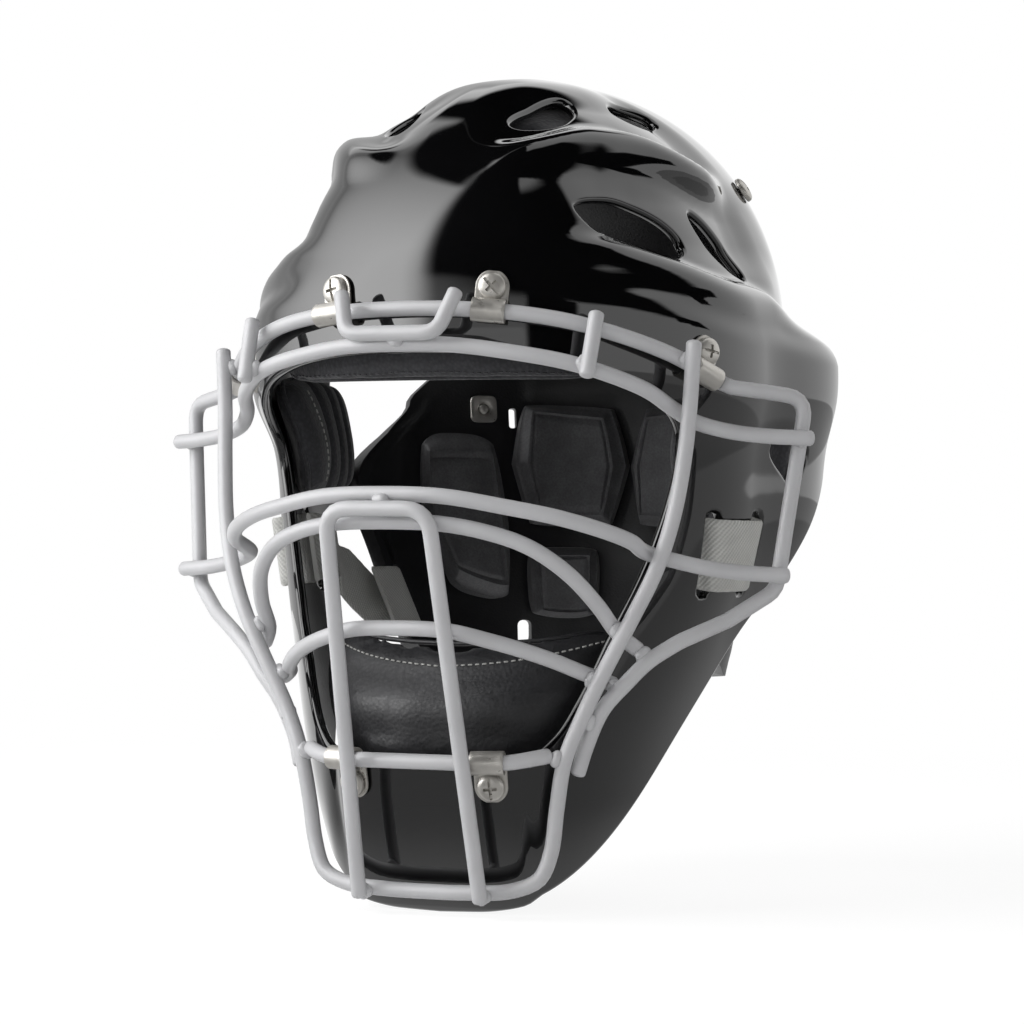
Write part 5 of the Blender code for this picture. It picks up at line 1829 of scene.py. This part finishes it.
class MASK_OT_straps(bpy.types.Operator):
    """Two woven elastics from the cheeks to the wings of the back plate"""

    bl_idname = "mask.straps"
    bl_label = "Elastic Straps"

    def execute(self, context):
        look = woven_elastic(context.scene.mask_colours.elastic)
        thick = context.scene.mask_sizes.strap / MM
        centres = [centre for centre, _ in strap_path()]
        for side, sign in SIDES:
            mesh = strap_mesh(sign, thick)
            piece = add_piece("woven_strap_" + side, mesh, None, [look], ["strap_" + side])
            start, end = flipped(centres[-11], sign) * MM, flipped(centres[-9], sign) * MM
            tuple(start)
            tuple(end)
            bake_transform(piece)
        return {"FINISHED"}


CAMERA_BEARING = 23.0
CAMERA_RISE = 0.5
CAMERA_DISTANCE = 1194.0
CAMERA_LENS = 115.8
LOOK_AT = Vector((0.0, -14.4, -16.5))
LAMPS = (  # name, (bearing, rise, distance in metres), width in metres, radiance
    ("key_box", (-58, 30, 1.3), 1.1, 4.6),
    ("fill_box", (70, 14, 1.5), 1.2, 0.7),
    ("front_box", (10, 6, 1.5), 0.7, 1.6),
)
FLAGS = (  # name, bearings from the front, rises above level
    ("flag_front", (-23.0, 44.0), (0.0, 96.0)),
    ("flag_camera", (18.0, 44.0), (-9.0, 12.0)),
    ("flag_right", (28.0, 106.0), (8.0, 65.0)),
    ("flag_crest", (92.0, 113.0), (8.0, 20.0)),
    ("flag_rear", (165.0, 232.0), (42.0, 96.0)),
    ("flag_left", (215.0, 346.0), (59.0, 98.0)),
)
WHITE = (1.0, 1.0, 1.0, 1.0)
ROOM_GLOW = 0.22
PAPER_GLOW = 0.9
SHADOW_REACH = 0.7
SOFT_BORDER = 0.12


def around(bearing, rise, distance):
    """Point at a bearing from the front, a rise above level and a distance from the origin, in metres."""
    a, e = math.radians(bearing), math.radians(rise)
    return Vector((math.sin(a) * math.cos(e), -math.cos(a) * math.cos(e), math.sin(e))) * distance


def point_at(item, place, aim):
    """Put a lamp or a camera at a place and turn it to look at another."""
    item.location = place
    item.rotation_euler = (aim - place).to_track_quat("-Z", "Y").to_euler()


def add_softbox(name, place, size, glow):
    """A square diffuser that looks at the origin; its face shines with the given radiance."""
    lamp = bpy.data.lights.new(name, "AREA")
    lamp.shape = "RECTANGLE"
    lamp.size, lamp.size_y = size, size
    lamp.energy = glow * math.pi * size * size
    item = link(bpy.data.objects.new(name, lamp))
    point_at(item, place, Vector())
    item.visible_glossy = False


def glowing(tree, kind, strength):
    """A white emission or background shader."""
    return add_node(tree, "ShaderNode" + kind, {"Color": WHITE, "Strength": strength})


def blended(tree, factor, first, second):
    """Two shaders mixed by a factor."""
    return add_node(tree, "ShaderNodeMixShader", {0: factor, 1: first.outputs[0], 2: second.outputs[0]})


def seen_directly(tree):
    """1 for rays from the camera, mirrors and glass."""
    path = add_node(tree, "ShaderNodeLightPath", {})
    clear = figured(tree, "MAXIMUM", path.outputs["Is Camera Ray"], path.outputs["Is Transmission Ray"])
    return figured(tree, "MAXIMUM", clear, path.outputs["Is Glossy Ray"])


def seamless_paper(colour):
    """White seamless paper, plain and matt; seen directly or in a reflection it is near white."""
    made, tree, place = start_material("seamless_paper")
    # The paper's tooth is about 0.5 mm, drawn 2 mm
    tone = toned(tree, noise(tree, place, 0.002, 2.0), colour, 0.98, 1.02)
    matt = add_node(tree, "ShaderNodeBsdfDiffuse", {"Color": tone})
    faint = add_node(tree, "ShaderNodeBsdfDiffuse", {"Color": rgba(colour, 0.22)})
    near = add_node(tree, "ShaderNodeAddShader", {
        0: faint.outputs[0], 1: glowing(tree, "Emission", PAPER_GLOW).outputs[0]})
    # Shadows fade out towards their reach; beyond it the paper is as white as the surroundings
    spread = add_node(tree, "ShaderNodeMapping", {"Vector": place, "Scale": (1 / SHADOW_REACH,) * 3})
    ball = add_node(tree, "ShaderNodeTexGradient", {
        "Vector": spread.outputs[0], "gradient_type": "SPHERICAL"})
    fade = ranged(tree, ball.outputs[1], 0.0, 0.5, 0.0, 1.0)
    shown = blended(tree, fade, glowing(tree, "Emission", 1.0), near)
    return finish_material(made, blended(tree, seen_directly(tree), matt, shown))


def lit_cloth(name, glow, far_glow=None):
    """Diffuser cloth or black felt of a panel with soft borders: even, or dimmer away from the front."""
    made, tree, place = start_material(name)
    # Threads of the cloth are about 1 mm, drawn 4 mm
    tone = toned(tree, noise(tree, place, 0.004, 1.0), WHITE[:3], 0.96, 1.0)
    strength = glow
    if far_glow is not None:
        ahead = add_node(tree, "ShaderNodeVectorMath", {
            "operation": "DOT_PRODUCT", 0: place, 1: around(-20.0, 0.0, 0.5)})
        strength = ranged(tree, ahead.outputs["Value"], 0.15, 0.9, far_glow, glow)
    across = add_node(tree, "ShaderNodeUVMap", {"uv_map": "card"}).outputs[0]
    spot = add_node(tree, "ShaderNodeSeparateXYZ", {0: across})
    borders = []
    for k in (0, 1):
        borders.append(add_node(tree, "ShaderNodeMapRange", {
            "interpolation_type": "SMOOTHSTEP", 0: figured(tree, "PINGPONG", spot.outputs[k], 0.5),
            1: 0.0, 2: SOFT_BORDER}).outputs[0])
    clear = add_node(tree, "ShaderNodeBsdfTransparent", {})
    cloth = add_node(tree, "ShaderNodeEmission", {"Color": tone, "Strength": strength})
    return finish_material(made, blended(tree, figured(tree, "MULTIPLY", *borders), clear, cloth))


def add_screen(name, look, bearings, span, distance=1.9, level=None):
    """A panel round the mask that shows only in reflections, between two rises; with a level it lies flat
    at that height, between two distances."""
    bm = bmesh.new()
    bm.loops.layers.uv.new("card")
    bmesh.ops.create_grid(bm, x_segments=48, y_segments=16, size=1.0, calc_uvs=True)
    for vert in bm.verts:
        bearing = bearings[0] + (bearings[1] - bearings[0]) * (vert.co.x + 1) / 2
        part = span[0] + (span[1] - span[0]) * (vert.co.y + 1) / 2
        if level is None:
            vert.co = around(bearing, part, distance)
        else:
            vert.co = around(bearing, 0.0, part)
            vert.co.z = level
    item = link(bpy.data.objects.new(name, to_mesh(bm, name, 1.0)))
    item.data.materials.append(look)
    for ray in ("camera", "diffuse", "transmission", "volume_scatter", "shadow"):
        setattr(item, "visible_" + ray, False)
    item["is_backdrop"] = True


def add_floor(low, colour):
    bm = bmesh.new()
    bmesh.ops.create_grid(bm, x_segments=8, y_segments=8, size=6.0)
    item = link(bpy.data.objects.new("floor", to_mesh(bm, "floor", 1.0)))
    item.location.z = low
    item.data.materials.append(seamless_paper(colour))
    item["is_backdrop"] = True


def add_surroundings(scene):
    """White surroundings for the camera, and a dim even room for the light on the mask."""
    scene.world = bpy.data.worlds.new("white_room")
    scene.world.use_nodes = True
    tree = scene.world.node_tree
    tree.nodes.clear()
    room, white = glowing(tree, "Background", ROOM_GLOW), glowing(tree, "Background", 1.0)
    both = blended(tree, seen_directly(tree), room, white)
    add_node(tree, "ShaderNodeOutputWorld", {"Surface": both.outputs[0]})


def add_camera(scene):
    camera = link(bpy.data.objects.new("camera", bpy.data.cameras.new("camera")))
    camera.data.lens = CAMERA_LENS
    camera.data.sensor_width = 36.0
    camera.data.clip_end = 50.0
    aim = LOOK_AT * MM
    point_at(camera, aim + around(CAMERA_BEARING, CAMERA_RISE, CAMERA_DISTANCE * MM), aim)
    scene.camera = camera


class MASK_OT_stage(bpy.types.Operator):
    """Pale floor, soft light, panels for the reflections, white surroundings and the camera"""

    bl_idname = "mask.stage"
    bl_label = "Stage and Camera"

    def execute(self, context):
        scene = context.scene
        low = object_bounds()[0][2]
        add_floor(low, scene.mask_colours.floor)
        add_surroundings(scene)
        for name, place, size, glow in LAMPS:
            add_softbox(name, around(*place), size, glow)
        black, dim = lit_cloth("black_felt", 0.0), lit_cloth("grey_card", 0.5)
        for name, bearings, rises in FLAGS:
            add_screen(name, black, bearings, rises)
        diffuser, table = lit_cloth("lit_diffuser", 4.6, 0.6), lit_cloth("table_cloth", 0.35)
        add_screen("key_card", diffuser, (-118.0, -15.0), (-18.0, 70.0), 2.0)
        add_screen("rim_card", dim, (-160.0, -106.0), (-16.0, 36.0), 2.1)
        add_screen("table_near", table, (-95.0, 200.0), (0.04, 0.9), level=low + 0.002)
        add_screen("table_far", dim, (-40.0, 200.0), (0.5, 2.2), level=low + 0.001)
        add_camera(scene)
        scene.view_settings.view_transform = "Standard"
        return {"FINISHED"}


class MASK_PT_build(bpy.types.Panel):
    """Sidebar panel with the mask's pieces, sizes and colours"""

    bl_idname = "MASK_PT_build"
    bl_label = "Catcher's Mask"
    bl_space_type = "VIEW_3D"
    bl_region_type = "UI"
    bl_category = "Mask"

    def draw(self, context):
        for operator in OPERATORS:
            self.layout.operator(operator.bl_idname)
        for group in (context.scene.mask_sizes, context.scene.mask_colours):
            box = self.layout.box()
            for key in group.__annotations__:
                box.prop(group, key)


OPERATORS = (
    MASK_OT_shell, MASK_OT_cage, MASK_OT_clips, MASK_OT_fasteners, MASK_OT_back_plate, MASK_OT_pads,
    MASK_OT_straps, MASK_OT_stage,
)
CLASSES = (MaskSizes, MaskColours) + OPERATORS + (MASK_PT_build,)


def register():
    for item in CLASSES:
        bpy.utils.register_class(item)
    bpy.types.Scene.mask_sizes = bpy.props.PointerProperty(type=MaskSizes)
    bpy.types.Scene.mask_colours = bpy.props.PointerProperty(type=MaskColours)


def unregister():
    del bpy.types.Scene.mask_colours
    del bpy.types.Scene.mask_sizes
    for item in reversed(CLASSES):
        bpy.utils.unregister_class(item)


def main():
    register()
    bpy.ops.mask.shell()
    bpy.ops.mask.cage()
    bpy.ops.mask.clips()
    bpy.ops.mask.fasteners()
    bpy.ops.mask.back_plate()
    bpy.ops.mask.pads()
    bpy.ops.mask.straps()
    bpy.ops.mask.stage()


if __name__ == "__main__":
    main()
